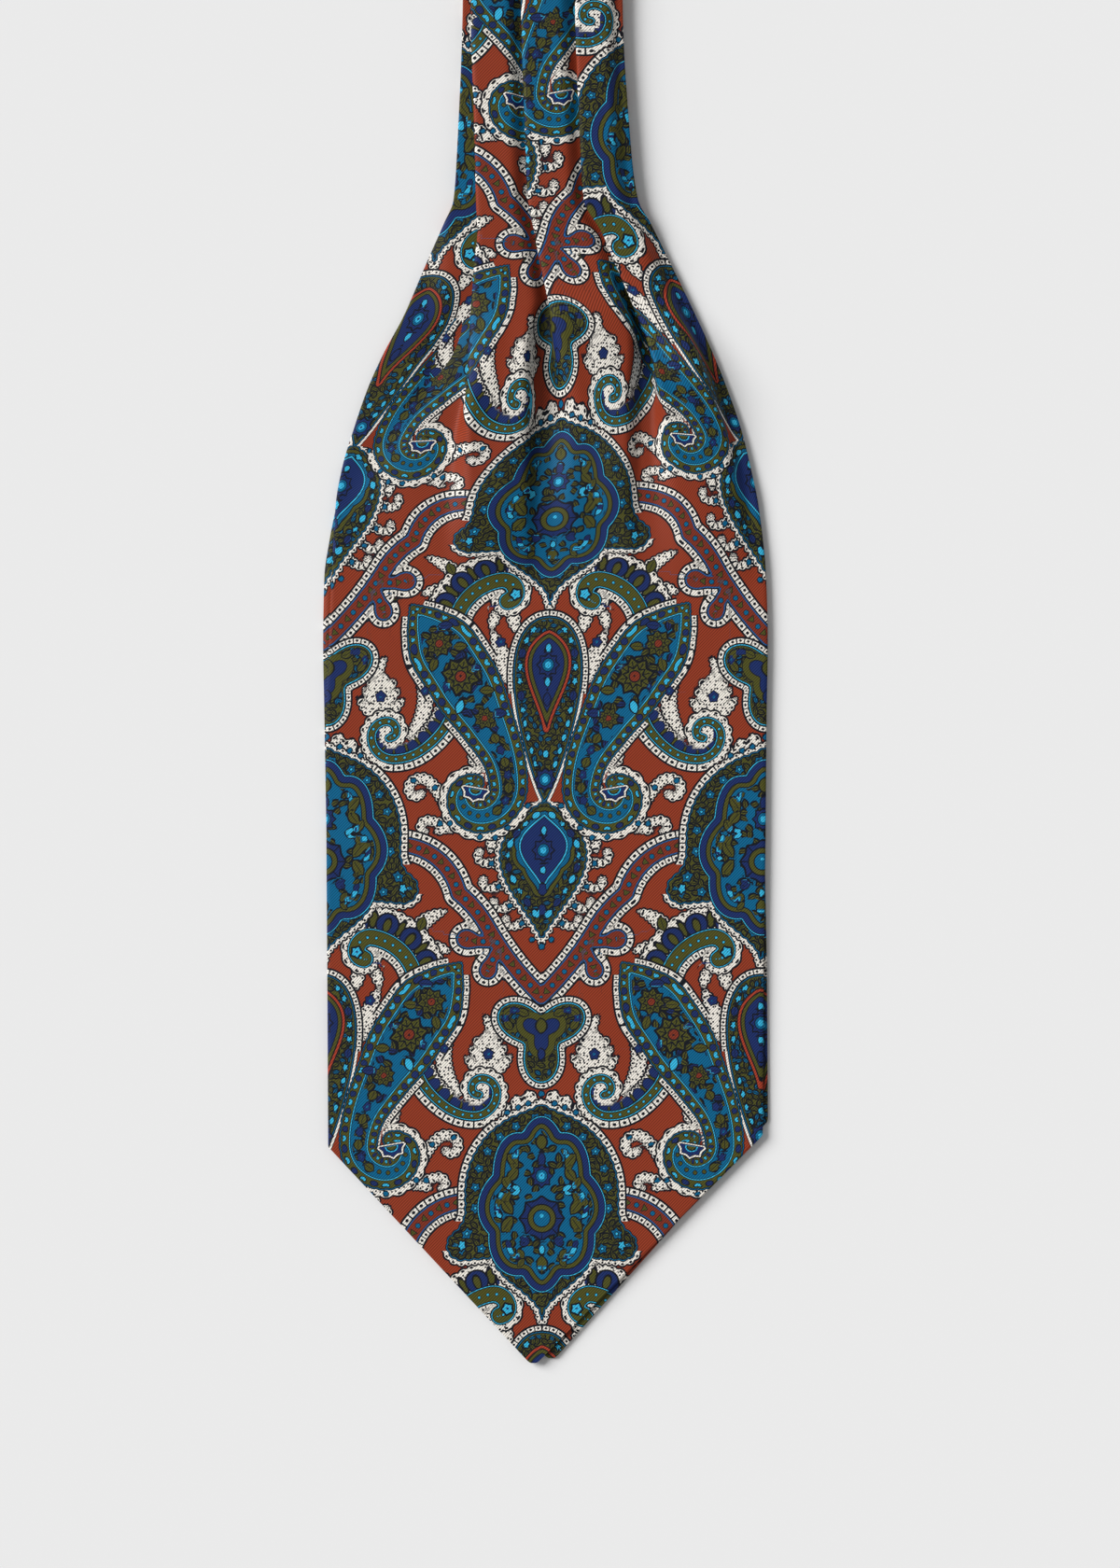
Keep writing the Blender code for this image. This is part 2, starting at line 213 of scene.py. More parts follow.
def blade_edge(edges, corners, tip, side, down):
    """An edge of a blade: its side's column down to the corner, then straight in to a round point."""
    start = smooth_column(edges, side, corners[side])
    run = tip["across"] - start
    fall = tip["down"] - corners[side]
    slant = math.atan2(abs(run), fall)
    sharp = fall + TIP_RADIUS * (1 / math.sin(slant) - 1)
    straight = abs(run) * (1 - (down - corners[side]) / sharp)
    height = tip["down"] - down
    arc = np.sqrt(np.maximum(TIP_RADIUS**2 - (TIP_RADIUS - height) ** 2, 0.0))
    straight = np.where(height < TIP_RADIUS * (1 - math.sin(slant)), arc, straight)
    point = tip["across"] - np.copysign(straight, run)
    return np.where(down <= corners[side], smooth_column(edges, side, down), point)


def under_height(across, down):
    """The top of the under length: a full stack beneath the neckband that thins out to one wall."""
    along = 1 - ease(down / CROWN_END)
    spread = np.where(down > 0, 1 - ease((np.abs(across) - CROWN_FLAT) / (CROWN_WIDE - CROWN_FLAT)), 1)
    return UNDER_WALL + (STACK - UNDER_WALL) * along * spread


print("blade", round(float(smooth_column(FRONT_EDGES, "right", 200.0)
                           - smooth_column(FRONT_EDGES, "left", 200.0)), 1), "mm wide")

# %% [markdown]
# ## Knife pleats as one line across the cloth
#
# Cut across, a knife pleat is a flat Z: the cloth runs under its neighbour's pressed edge, turns back,
# and turns again at the edge.  Each turn is an arc a few millimetres long.  As the pleat opens, the arc
# turns by less and so grows rounder, until the line is straight.  The whole width is worked out for
# every row at once: an array has a row for each distance down and a column for each point across.

# %% One line across, for every row at once
ARC_STEPS = 5
TUCK_STEPS = 3
STRIP_STEPS = (33, 22, 22, 24)
LEAST_TURN = 0.001
LEVEL_SHARE = 0.12
NOSE_CLEARANCE = 1.2
EDGE_CLEARANCE = 0.6
EDGE_ROLL = 0.3          # the silk's edge rounds off over this width
DROP_WIDTH = 5.0         # a strip drops to the layer below it over this width


def pleat_profile(turn, tuck, bend):
    """A doubled-back fold from 0, 0: an arc of radius bend over turn, a straight tuck, the arc back."""
    radius = bend / turn
    a = turn * np.linspace(0, 1, ARC_STEPS + 1)
    along = tuck * np.linspace(0, 1, TUCK_STEPS + 1)
    x_in = radius * np.sin(a)
    z_in = radius * (1 - np.cos(a))
    x_tuck = x_in[:, -1:] + along * np.cos(turn)
    z_tuck = z_in[:, -1:] + along * np.sin(turn)
    b = a[:, ::-1]
    x_back = x_tuck[:, -1:] + radius * (np.sin(turn) - np.sin(b))
    z_back = z_tuck[:, -1:] + radius * (np.cos(b) - np.cos(turn))
    edge = x_tuck[:, -1:] + radius * (np.sin(turn) - np.sin(np.minimum(turn, np.pi / 2)))
    x = np.concatenate([x_in, x_tuck[:, 1:-1], x_back], axis=1)
    z = np.concatenate([z_in, z_tuck[:, 1:-1], z_back], axis=1)
    return x, z, edge


def strip_between(start, end, count, level_to, level_from, shares):
    """A strip from one point to the next: x in equal shares, z easing down close before its end."""
    span = end[0] - start[0]
    b = np.minimum(end[0] - LEVEL_SHARE * span, level_from)
    a = np.maximum(np.maximum(start[0] + LEVEL_SHARE * span, level_to), b - DROP_WIDTH)
    tight = b - a < LEVEL_SHARE * span
    a = np.where(tight, start[0] + LEVEL_SHARE * span, a)
    b = np.where(tight, end[0] - LEVEL_SHARE * span, b)
    x = start[0] + span * shares(count, span)
    return x, start[1] + (end[1] - start[1]) * ease((x - a) / (b - a))


def inner_shares(count, span):
    """Equal shares of a strip, without its two ends."""
    return np.linspace(0, 1, count + 2)[1:-1] + 0 * span


def left_shares(count, span):
    """Equal shares, but the first point lies just inside the rolled edge."""
    first = EDGE_ROLL / span
    return first + (1 - first) * np.linspace(0, 1, count + 1)[:-1]


def right_shares(count, span):
    """Equal shares, but the last point lies just inside the rolled edge."""
    return 1 - left_shares(count, span)[:, ::-1]


def pleated_lines(down):
    """The front length's middle line across, one row for each distance down, before it is lifted.

    Gives x, z and the columns at the edges, where each pleat starts, and at each pressed edge."""
    down = down[:, None]
    left = smooth_column(FRONT_EDGES, "left", down)
    right = smooth_column(FRONT_EDGES, "right", down)
    bend = smooth_column(PLEAT_OPENING, "bend", down)
    xs, zs, knots = [left], [0 * left], [0]
    nose, count = left, 1
    for k, pleat in enumerate(PLEATS):
        turn = np.maximum(np.radians(smooth_column(PLEAT_OPENING, pleat + " turn", down)), LEAST_TURN)
        x, z, edge = pleat_profile(turn, smooth_column(PLEAT_OPENING, pleat + " tuck", down), bend)
        edge_x = smooth_column(PLEAT_EDGES, pleat, down)
        x = x + edge_x - edge
        start = (xs[-1][:, -1:], zs[-1][:, -1:])
        shares = left_shares if k == 0 else inner_shares
        strip = strip_between(start, (x[:, :1], 0.0), STRIP_STEPS[k], nose + NOSE_CLEARANCE,
                              edge_x - EDGE_CLEARANCE, shares)
        xs += [strip[0], x]
        zs += [strip[1], z]
        count += STRIP_STEPS[k]
        knots += [count, count + x.shape[1] - 1 - ARC_STEPS // 2]
        count += x.shape[1]
        nose = x.max(axis=1, keepdims=True)
    start = (xs[-1][:, -1:], zs[-1][:, -1:])
    strip = strip_between(start, (right, 0.0), STRIP_STEPS[3], nose + NOSE_CLEARANCE, right, right_shares)
    x = np.concatenate(xs + [strip[0], right], axis=1)
    z = np.concatenate(zs + [strip[1], 0 * right], axis=1)
    return x, z, knots + [x.shape[1] - 1]


print("points across:", pleated_lines(np.array([0.0]))[0].shape[1])

# %% [markdown]
# ## Soft swells and creases
#
# Silk that is let out of a pleat doesn't fall flat at once.  Broad low swells lie below the pleats, and
# long soft troughs and ridges fan out from them.  A cloth simulation would lay them somewhere else on
# each run, so each one is placed as a stretched bell curve: where it is, how it is turned, how long
# and wide it is, and how high or deep.

# %% Swells and creases
SWELLS = {
    "across": (-22, 26, -48, 56),
    "down": (112, 92, 96, 118),
    "turned": (0, 0, 0, 0),
    "long": (16, 20, 26, 26),
    "wide": (17, 15, 13, 12),
    "high": (1.5, 1.3, 1.0, 0.9),
}
CREASES = {
    "across": (0, 4, 10, -31.5, -40, -24, 33, 42, 52, -12, 17, 3, -60, 62, -18, 24),
    "down": (46, 70, 62, 42, 62, 66, 42, 62, 78, 84, 100, 128, 88, 94, 52, 66),
    "turned": (-4, -8, -12, 24, 34, 14, -32, -26, -34, 10, -6, 62, 30, -26, 6, -20),
    "long": (16, 22, 24, 18, 24, 26, 16, 22, 22, 24, 24, 22, 24, 26, 22, 20),
    "wide": (4, 3.6, 4, 5, 5, 4, 4.6, 4.6, 5, 5, 6, 7, 5, 5.5, 4, 4),
    "high": (-0.9, -1, 0.8, -1.5, -0.9, 0.8, -1.5, -1.1, 0.7, 0.5, -0.7, -0.7, -0.4, -0.4, 0.5, 0.6),
}


def rises(table, across, down):
    """The sum of a table's bell curves: high times e to the minus (side squared plus along squared).

    Each is turned by its own angle from straight down."""
    rise = np.zeros(np.broadcast(across, down).shape)
    for x, y, turned, long, wide, high in zip(*table.values()):
        c, s = math.cos(math.radians(turned)), math.sin(math.radians(turned))
        side = ((across - x) * c + (down - y) * s) / wide
        along = ((down - y) * c - (across - x) * s) / long
        rise += high * np.exp(-(side**2) - along**2)
    return rise


print("swells", len(SWELLS["high"]), "creases", len(CREASES["high"]))

# %% [markdown]
# ## The whole front length as a grid
#
# The rows run from the blade's point up to the back of the neck, and there the last row swings half a
# turn, because the cloth turns over on itself.  They lie about a millimetre apart on the blade and
# wider apart up in the neckband.  Past the pleats every column keeps its share of the width.

# %% The front length's middle surface
SILK_WALL = 0.6          # two turned layers of silk
ROW_STEP = 1.1
BAND_STEP = 1.5
SWING_STEPS = 14
POINT_ROWS = np.array([0.12, 0.45, 1.1, 2.0])   # from the tip, where its outline is round
FOLD_RADIUS = STACK + GAP / 2
FOLD_DOWN = -(FOLDED_LENGTH / 2 - TACK_Y - FOLD_RADIUS)


def even_steps(start, end, step):
    """Numbers from start to end, an even count of nearly equal steps."""
    return np.linspace(start, end, 2 * math.ceil(abs(end - start) / step / 2) + 1)


def blade_rows(tip, end, step):
    """Distances down of a blade's rows: four close ones in its round point, then even steps."""
    return np.concatenate([tip["down"] - POINT_ROWS, even_steps(tip["down"] - TIP_RADIUS, end, step)])


def front_surface():
    """The grid of the middle surface in mm, with each row's distance down and the pleats' columns."""
    band = even_steps(0.0, FOLD_DOWN, BAND_STEP)[1:]
    down = np.concatenate([blade_rows(FRONT_TIP, 0.0, ROW_STEP), band])
    x, z, knots = pleated_lines(np.minimum(down, RELEASE_END))
    left = blade_edge(FRONT_EDGES, FRONT_CORNER, FRONT_TIP, "left", down)[:, None]
    right = blade_edge(FRONT_EDGES, FRONT_CORNER, FRONT_TIP, "right", down)[:, None]
    share = (x - x[:, :1]) / (x[:, -1:] - x[:, :1])
    below = down[:, None] > RELEASE_END
    x = np.where(below, left + share * (right - left), x)
    z = np.where(below, 0.0, z)
    rising = np.where(below, 1.0, ease(down[:, None] / RELEASE_END * 2))
    z = z + (rises(SWELLS, x, down[:, None]) + rises(CREASES, x, down[:, None])) * rising
    z = z + under_height(x, down[:, None]) + GAP + FRONT_WALL / 2
    y = np.broadcast_to(TACK_Y - down[:, None], x.shape)
    flat = np.stack([x, y, z], axis=-1)
    swing = np.linspace(0, math.pi, SWING_STEPS + 1)[1:, None]
    reach = z[-1] - FOLD_RADIUS
    round_x = np.broadcast_to(x[-1], (SWING_STEPS, x.shape[1]))
    turned = np.stack([round_x, TACK_Y - FOLD_DOWN + reach * np.sin(swing),
                       FOLD_RADIUS + reach * np.cos(swing)], axis=-1)
    down = np.concatenate([down, FOLD_DOWN - FOLD_RADIUS * swing[:, 0] / 2])
    return np.concatenate([flat, turned]), down, knots


front_grid, front_down, front_knots = front_surface()
print("front length", front_grid.shape[:2], "rows and columns, pleats at columns", front_knots)

# %% [markdown]
# ## Where the print lies on the cloth
#
# The print was on the cloth before it was pleated, so it is drawn in the cloth's own millimetres: u
# across from the print's mirror line, v along it.  On the open blade u is x, less the millimetre or two
# by which the mirror line wanders.  In the neckband each strip shows another stretch of the cloth, and
# the cloth between them is hidden in the tucks.  So a table gives, for each side of each pleat, how far
# u lies from x and v from "down", and between two such columns u and v run on evenly with the length of
# the line.  The tucks are shallower than real ones, so the print is squeezed inside them, out of sight.

# %% Cloth coordinates of the front length
PRINT_SHIFT = {
    "down": (-190, -71, 0, 20, 30, 37, 44, 50, 60, 86, 112, 135),
    "left edge": (-38.0, -38.0, -39.0, -38.5, -36.9, -34.9, -32.1, -28.0, -21.0, -10.5, -3.0, -1.8),
    "first under": (-37.4, -37.4, -39.0, -38.5, -35.6, -32.0, -28.4, -24.8, -19.0, -9.0, -1.0, -1.8),
    "first edge": (-14.0, -14.0, -14.9, -14.9, -14.8, -14.7, -14.7, -14.7, -14.6, -9.5, -1.2, -1.8),
    "middle under": (-14.0, -14.0, -14.9, -14.9, -14.8, -13.8, -11, -8.8, -7.2, -6, -3.3, -1.8),
    "middle edge": (19.5, 19.5, 18.0, 11.5, 8.6, 4, -1.5, -3.8, -4.6, -5.4, -3.3, -1.8),
    "last under": (19.5, 19.5, 18.0, 10.5, 8.2, 6.9, 5.9, 5.4, 4.5, 1.5, -3.5, -1.8),
    "last edge": (39.7, 39.7, 38.5, 35.2, 30.6, 26.2, 22.5, 19.7, 15.0, 3.0, -3.0, -1.8),
    "right edge": (39.7, 39.7, 38.5, 35.5, 32.5, 29.6, 26.7, 23.8, 19.0, 8.0, 0.5, -1.8),
}
PRINT_SLIP = {
    "down": (-190, -71, 0, 20, 41, 60, 82, 100, 115, 135, 160, 190),
    "left edge": (-1, -1, -4, -5.6, -3, -4, -1, 2.9, 3, 1.5, 0.5, 0),
    "first under": (-1, -1, -4, -5.6, -5, -6.2, -5, -4, -3.5, 0, 0.5, 0),
    "first edge": (-8, -8, -8, -7, -6, -6.5, -9.5, -6.5, -4.5, 0, 0.5, 0),
    "middle under": (-7.5, -7.5, -8, -5.5, -5, -6.5, -10.5, -7, -5, 0.5, 0.5, 0),
    "middle edge": (-7, -7, -7, -5.5, -4.8, -6, -10, -6.5, -4, 0.5, 0.5, 0),
    "last under": (-6.5, -6.5, -6, -4, -4, -4.5, -5, -2, -1, 0.5, 0.5, 0),
    "last edge": (0.4, 0.4, 0, -1.6, -2, -3.9, -2, 0, 1, 1, 0.5, 0),
    "right edge": (0.4, 0.4, 0, -1.6, -1, -3, 1, 3.8, 3, 1, 0.5, 0),
}
PRINT_AXIS = {"down": (135, 185, 281, 410), "across": (1.8, 0.3, -1.5, -1.2)}
KNOT_NAMES = ("left edge", "first under", "first edge", "middle under",
              "middle edge", "last under", "last edge", "right edge")


def front_print_place(grid, down, knots):
    """u and v of every point: read from the tables at the knots, then shared out by length between."""
    x = grid[..., 0]
    step = np.linalg.norm(np.diff(grid, axis=1), axis=-1)
    length = np.concatenate([np.zeros((len(x), 1)), np.cumsum(step, axis=1)], axis=1)
    u = np.empty_like(x)
    v = np.empty_like(x)
    shift = [x[:, k] + smooth_column(PRINT_SHIFT, name, down) for k, name in zip(knots, KNOT_NAMES)]
    slip = [down + smooth_column(PRINT_SLIP, name, down) for name in KNOT_NAMES]
    for i, (a, b) in enumerate(zip(knots[:-1], knots[1:])):
        share = (length[:, a:b + 1] - length[:, a:a + 1]) / (length[:, b:b + 1] - length[:, a:a + 1])
        u[:, a:b + 1] = shift[i][:, None] * (1 - share) + shift[i + 1][:, None] * share
        v[:, a:b + 1] = slip[i][:, None] * (1 - share) + slip[i + 1][:, None] * share
    open_blade = down[:, None] > RELEASE_END
    u = np.where(open_blade, x - smooth_column(PRINT_AXIS, "across", down)[:, None], u)
    return u, v


front_u, front_v = front_print_place(front_grid, front_down, front_knots)
print("cloth across in the neckband", round(float(np.ptp(front_u[-20])), 1), "mm")

# %% [markdown]
# ## Drawing the motifs as strokes and outlines
#
# A paisley is built from a few kinds of line.  A stroke is a smooth path with a width that swells and
# tapers, like a brush stroke: the teardrops, scrolls, the lattice and the ivory flames are strokes.  An
# outline is the edge of a closed motif: medallion, trefoil, spear and leaf are outlines.
# Everything is drawn in one cell of the print, x out from its mirror line and y down.

# %% Paths and lines
PATH_STEP = 0.6          # between a path's points


def run_along(path):
    """The distance of each point from the start of its path, along it."""
    return np.concatenate([[0], np.cumsum(np.hypot(*np.diff(path, axis=0).T))])


def evenly(path):
    """The same path with its points about a step apart."""
    run = run_along(path)
    at = np.linspace(0, run[-1], max(int(run[-1] / PATH_STEP), 4) + 1)
    return np.stack([np.interp(at, run, column) for column in path.T], axis=1)


def line_table(path, half):
    """A path's points with the distance along it, half its width, its heading, and -1 or 1 at an end."""
    run = run_along(path)
    heading = np.gradient(path, axis=0)
    heading /= np.linalg.norm(heading, axis=1)[:, None]
    end = np.zeros(len(path))
    end[0], end[-1] = -1, 1
    return np.column_stack([path, run, half + 0 * run, heading, end])


print("a line's columns: x, y, run, half width, heading x, heading y, end")

# %% [markdown]
# ## One cell of the print
#
# The cell holds a bell-shaped medallion, a trefoil above it, a spear and an onion leaf on the mirror
# line below it, a teardrop boteh on each side, two scrolls, and an ogee lattice that swings from one
# medallion to the next.  Many printed paisleys share these kinds of motif.  Here each is built as a
# pattern drawer builds it with compasses: arcs that join without a corner, volutes of quarter circles
# that shrink by one share, and rows of flames and flowers at even steps.  The sizes are millimetres on
# the cloth.


# %% Lines built from arcs
def turning(start, heading, legs):
    """A line of arcs that join smoothly: each leg is a length and the degrees it turns by."""
    pieces = [np.array([start], float)]
    for long, turn in legs:
        count = max(round(long / PATH_STEP), 2)
        aim = np.radians(heading + turn * (np.arange(count) + 0.5) / count)
        step = np.column_stack([np.cos(aim), np.sin(aim)]) * long / count
        pieces.append(pieces[-1][-1] + np.cumsum(step, axis=0))
        heading += turn
    return np.concatenate(pieces)


def volute(radius, shrink, quarters, way):
    """The legs of a volute: quarter circles, each smaller than the last by the same share."""
    return [(radius * shrink**k * math.pi / 2, 90 * way) for k in range(quarters)]


def swelling(path, shares, halves):
    """A stroke along a path whose half width is read smoothly off a table of shares of its length."""
    path = evenly(path)
    table = {"down": shares, "half": halves}
    return line_table(path, smooth_column(table, "half", np.linspace(0, 1, len(path))))


def places_on(line, runs, out):
    """Points at the given runs along a line, moved out to its right, and the line's heading there."""
    x, y, ahead, down = [np.interp(runs, line[:, 2], line[:, k]) for k in (0, 1, 4, 5)]
    length = np.hypot(ahead, down)
    return zip(x - out * down / length, y + out * ahead / length, np.degrees(np.arctan2(down, ahead)))


def flame(x, y, heading, long, bend, half):
    """A tapered stroke whose heading turns evenly by the bend on its way."""
    return swelling(turning((x, y), heading, [(long, bend)]), (0, 0.35, 0.8, 1),
                    (0.8 * half, half, 0.6 * half, 0.3))


def flames_on(line, runs, out, lean, long, bend, half):
    """Flames that grow from a line at the given runs, each leaning by the same angle from its normal."""
    side = math.copysign(90, out)
    return [flame(x, y, heading + side + lean, long, bend, half)
            for x, y, heading in places_on(line, runs, out)]


def leaf_of_flames(x, y, heading, long, half):
    """A flame with three pairs of side flames that part from it at even steps."""
    rest = []
    for share in (0.0, 0.32, 0.6):
        foot = turning((x, y), heading, [(long * share + 0.1, 0)])[-1]
        rest += [flame(*foot, heading + lean, long * (0.66 - 0.5 * share), -0.4 * lean, half * 0.5)
                 for lean in (66, -66)]
    return [flame(x, y, heading, long, 0, half), *rest]


def hooks_on(line, runs, out, size, way):
    """Hooks that grow from a line at the given runs: a short stem, then a curl to the given side."""
    side = math.copysign(90, out)
    return [swelling(turning((x, y), heading + side, [(size, 15 * way), (size * 0.9, 120 * way)]),
                     (0, 0.3, 0.6, 1), (0.34 * size, 0.3 * size, 0.2 * size, 0.28 * size))
            for x, y, heading in places_on(line, runs, out)]


# %% Outlines on the mirror line, each from its top round to its foot
def rim(path):
    """A closed motif's right half as a line of no width."""
    return line_table(evenly(path), 0.0)


def drop(top, foot, half, belly, sharp):
    """A pointed drop: half times sin(pi t^p) to the power sharp, where p puts the belly at its share."""
    t = np.linspace(0, 1, 200)
    power = math.log(0.5) / math.log(belly)
    x = half * np.maximum(np.sin(math.pi * t**power), 0) ** sharp
    return rim(np.column_stack([x, top + (foot - top) * t]))


def trefoil(middle, mean, lobe):
    """Three lobes: mean plus lobe times the cosine of three times the angle from the foot."""
    angle = np.linspace(-math.pi / 2, math.pi / 2, 120)
    radius = mean + lobe * np.cos(3 * (angle - math.pi / 2))
    return rim(np.column_stack([radius * np.cos(angle), middle + radius * np.sin(angle)]))


def lobed_egg(top, foot, half, lobes, deep):
    """An egg broader towards its foot, times 1 + deep |cos(lobes angle)|: round lobes, sharp nicks."""
    angle = np.linspace(0, math.pi, 240)
    swell_out = 1 + deep * np.abs(np.cos(lobes * angle))
    x = half * np.sin(angle) * (1 + 0.15 * (1 - np.cos(angle)) * np.sin(angle) ** 2) * swell_out
    return rim(np.column_stack([x, (top + foot) / 2 - (foot - top) / 2 * np.cos(angle) * swell_out]))


def bell(top, foot):
    """A bell: an ogee tip, a dome, a skirt that flares into a round wing, and a foot like 1 + cos."""
    side = turning((0, top), 28, [(8, -8), (36, 70), (6, 0), (10, -55), (13, 150), (11, 0)])
    x, y = side[-1]
    t = np.linspace(0, 1, 60)[1:, None]
    under = np.hstack([x * (1 + np.cos(math.pi * t)) / 2, y + (foot - y) * t])
    return rim(np.concatenate([side, under]))


RIMS = {
    "medallion": bell(-35, 40), "lobes": lobed_egg(-27, 27, 17, 4, 0.14),
    "trefoil": trefoil(-60, 12, 5), "trefoil heart": trefoil(-61, 5, 2.2),
    "spear": drop(45, 110, 12, 0.3, 0.8), "spear heart": drop(51, 84, 7, 0.32, 1.3),
    "onion": drop(110, 158, 15, 0.4, 1.2), "onion heart": drop(115, 140, 8, 0.42, 1.4),
}
print("lengths of the outlines:", {name: round(float(line[-1, 2])) for name, line in RIMS.items()})

# %% Lattice, botehs, scrolls and flames
LATTICE_HALF = 2.2
shoulder = turning((24, -1), 0, [(2, 0), (30, 76)])
swing = turning(shoulder[-1], 38, [(16, 22), (31, -16)])
LATTICE = [line_table(evenly(np.concatenate([shoulder, swing[1:]])), LATTICE_HALF)]
LATTICE += [swelling(turning((60, 33), 172, [(9, 24)]), (0, 0.5, 1), (1.8, 1.6, 2.8)),
            swelling(turning((62, 37), 128, [(7, -20)]), (0, 0.5, 1), (1.8, 1.6, 2.5))]
BOTEH = [swelling(turning((49, 41), 129, [(58, -11), (16, -25)] + volute(10, 0.7, 3, -1)),
                  (0, 0.06, 0.12, 0.2, 0.3, 0.45, 0.6, 0.75, 0.9, 1),
                  (0.2, 4.5, 8.5, 12, 12, 9.5, 7, 6, 5, 3))]
SCROLL = [
    swelling(turning((44, -48), 104, [(8, 24), (10, 18), (10, 34)] + volute(8, 0.66, 4, 1)),
             (0, 1), (1.7, 1.3)),
    swelling(turning((33, 46), 258, [(10, -32), (12, -36)] + volute(5, 0.6, 2, -1)), (0, 1), (2.6, 3.0)),
]
FLAME = leaf_of_flames(18.5, -46, -88, 15, 4.2)
FLAME += [swelling(turning((30, -40), -52, [(8, -20), (20, -70)]), (0, 0.4, 0.8, 1), (1.8, 2.6, 2.0, 0.5))]
FLAME += hooks_on(RIMS["onion"], np.arange(20, 56, 7.5), -1.5, 5, -1)
FLAME += flames_on(BOTEH[0], [80, 88, 96], 7, 10, 6, -40, 1.8)
FLAME += flames_on(RIMS["medallion"], [3, 8, 13], -1.5, -15, 4.5, 20, 2.4)
# single flames: x, y, heading, length, bend, half width
FLAME += [flame(*row) for row in (
    (14, 66, -74, 17, 10, 2.8), (31, 32, -60, 16, 45, 2.6), (36, 36, -20, 9, 50, 2.2),
    (13, 43, 95, 7, 10, 2.2), (19, 44, 70, 5, 10, 1.8), (17, -60, -80, 7, 30, 1.8),
    (24, 98, -66, 9, -20, 2.0))]
HOOKS = [swelling(turning((36, 109), -62, [(8, 20)] + volute(4.5, 0.7, 3, 1)), (0, 1), (2.0, 1.4)),
         swelling(turning((33, 119), -24, [(8, 10)] + volute(2.5, 0.7, 2, 1)), (0, 1), (1.8, 1.2)),
         swelling(turning((19, 100), 100, [(5, -20)] + volute(4.5, 0.8, 2, -1)),
                  (0, 0.5, 1), (0.8, 1.3, 0.7))]
FLAME += HOOKS
print("strokes:", len(LATTICE) + len(BOTEH) + len(SCROLL) + len(FLAME))

# %% Flowers, leaves and dots of one cell
(OLIVE_FLOWER, ROSETTE, SKY_FLOWER, NAVY_BUD, OLIVE_LEAF, TEAL_DOT, SKY_LEAF, NAVY_LEAF,
 TEAL_FLOWER, LOTUS) = KINDS = range(10)
AXIS_SIZES = {  # half length and half width of the blooms that stand on the mirror line
    OLIVE_LEAF: (2.8, 1.8), SKY_LEAF: (1.7, 1.0), NAVY_LEAF: (2.4, 1.2), NAVY_BUD: (2.6, 1.6),
    TEAL_FLOWER: (4.2, 3.8), TEAL_DOT: (1.2, 1.2),
}


def blooms_on(line, runs, out, turn, long, wide, *kinds):
    """Blooms at the given runs along a line, moved out from it and turned, the kinds in turn."""
    return [(x, y, heading + turn, long, wide, kinds[i % len(kinds)])
            for i, (x, y, heading) in enumerate(places_on(line, runs, out))]


def bloom_pair(x, y, lean, long, wide, kind):
    """Two blooms that part from a point by the same angle each way."""
    return [(x + 1.2 * long * math.cos(a), y + 1.2 * long * math.sin(a), math.degrees(a), long, wide, kind)
            for a in (math.radians(lean), -math.radians(lean))]


# x, y, heading in degrees, half length, half width, kind
BLOOMS = [(0, 5, 0, 7.6, 7.6, ROSETTE)]
# down the mirror line: the top, the even step and the kinds, motif by motif
for top, step, *kinds in ((-22, 6, OLIVE_LEAF, NAVY_LEAF, TEAL_FLOWER), (16, 5, SKY_LEAF, OLIVE_LEAF),
                          (56, 6, SKY_LEAF, TEAL_FLOWER, SKY_LEAF, NAVY_LEAF), (93, 9, SKY_LEAF, TEAL_FLOWER),
                          (120, 7, SKY_LEAF, TEAL_FLOWER, SKY_LEAF, NAVY_BUD, NAVY_LEAF),
                          (-63, 10, OLIVE_LEAF, NAVY_LEAF), (-39, 200, TEAL_DOT, TEAL_DOT)):
    BLOOMS += [(0, top + step * k, 90, *AXIS_SIZES[kind], kind) for k, kind in enumerate(kinds)]
# a lotus under the end of the boteh's volute
eye = BOTEH[0][-1, :2] + (-0.5, 2.2)
BLOOMS += [(*eye, 80, 4.6, 5.2, LOTUS)]
# single ones in the flames and in the wing of the bell: line, run, out, half sizes, kind
for line, run, out, long, wide, kind in (
        (FLAME[0], 7, 0, 2.2, 2, NAVY_BUD), (FLAME[7], 16, 0, 1.8, 1.6, NAVY_BUD),
        (SCROLL[1], 31, 0, 2.4, 2.4, SKY_FLOWER), (RIMS["medallion"], 64, 5, 2.2, 1.6, SKY_FLOWER)):
    BLOOMS += blooms_on(line, [run], out, 0, long, wide, kind)
BLOOMS += [(17, 54, 0, 2, 2, NAVY_BUD), (35, 27, -70, 2.6, 1.6, OLIVE_LEAF)]
# leaves in pairs about the medallion's middle, like sprigs
for pair in ((8, -13, 50, 2.8, 1.6, OLIVE_LEAF), (10, 4, 55, 3.2, 1.7, OLIVE_LEAF),
             (4, 13, 20, 1.8, 1.0, NAVY_LEAF), (6, 19, 50, 1.8, 1.0, OLIVE_LEAF),
             (7, -5, 25, 1.8, 0.8, SKY_LEAF), (11, -5, 60, 2.4, 1.3, OLIVE_LEAF)):
    BLOOMS += bloom_pair(*pair)
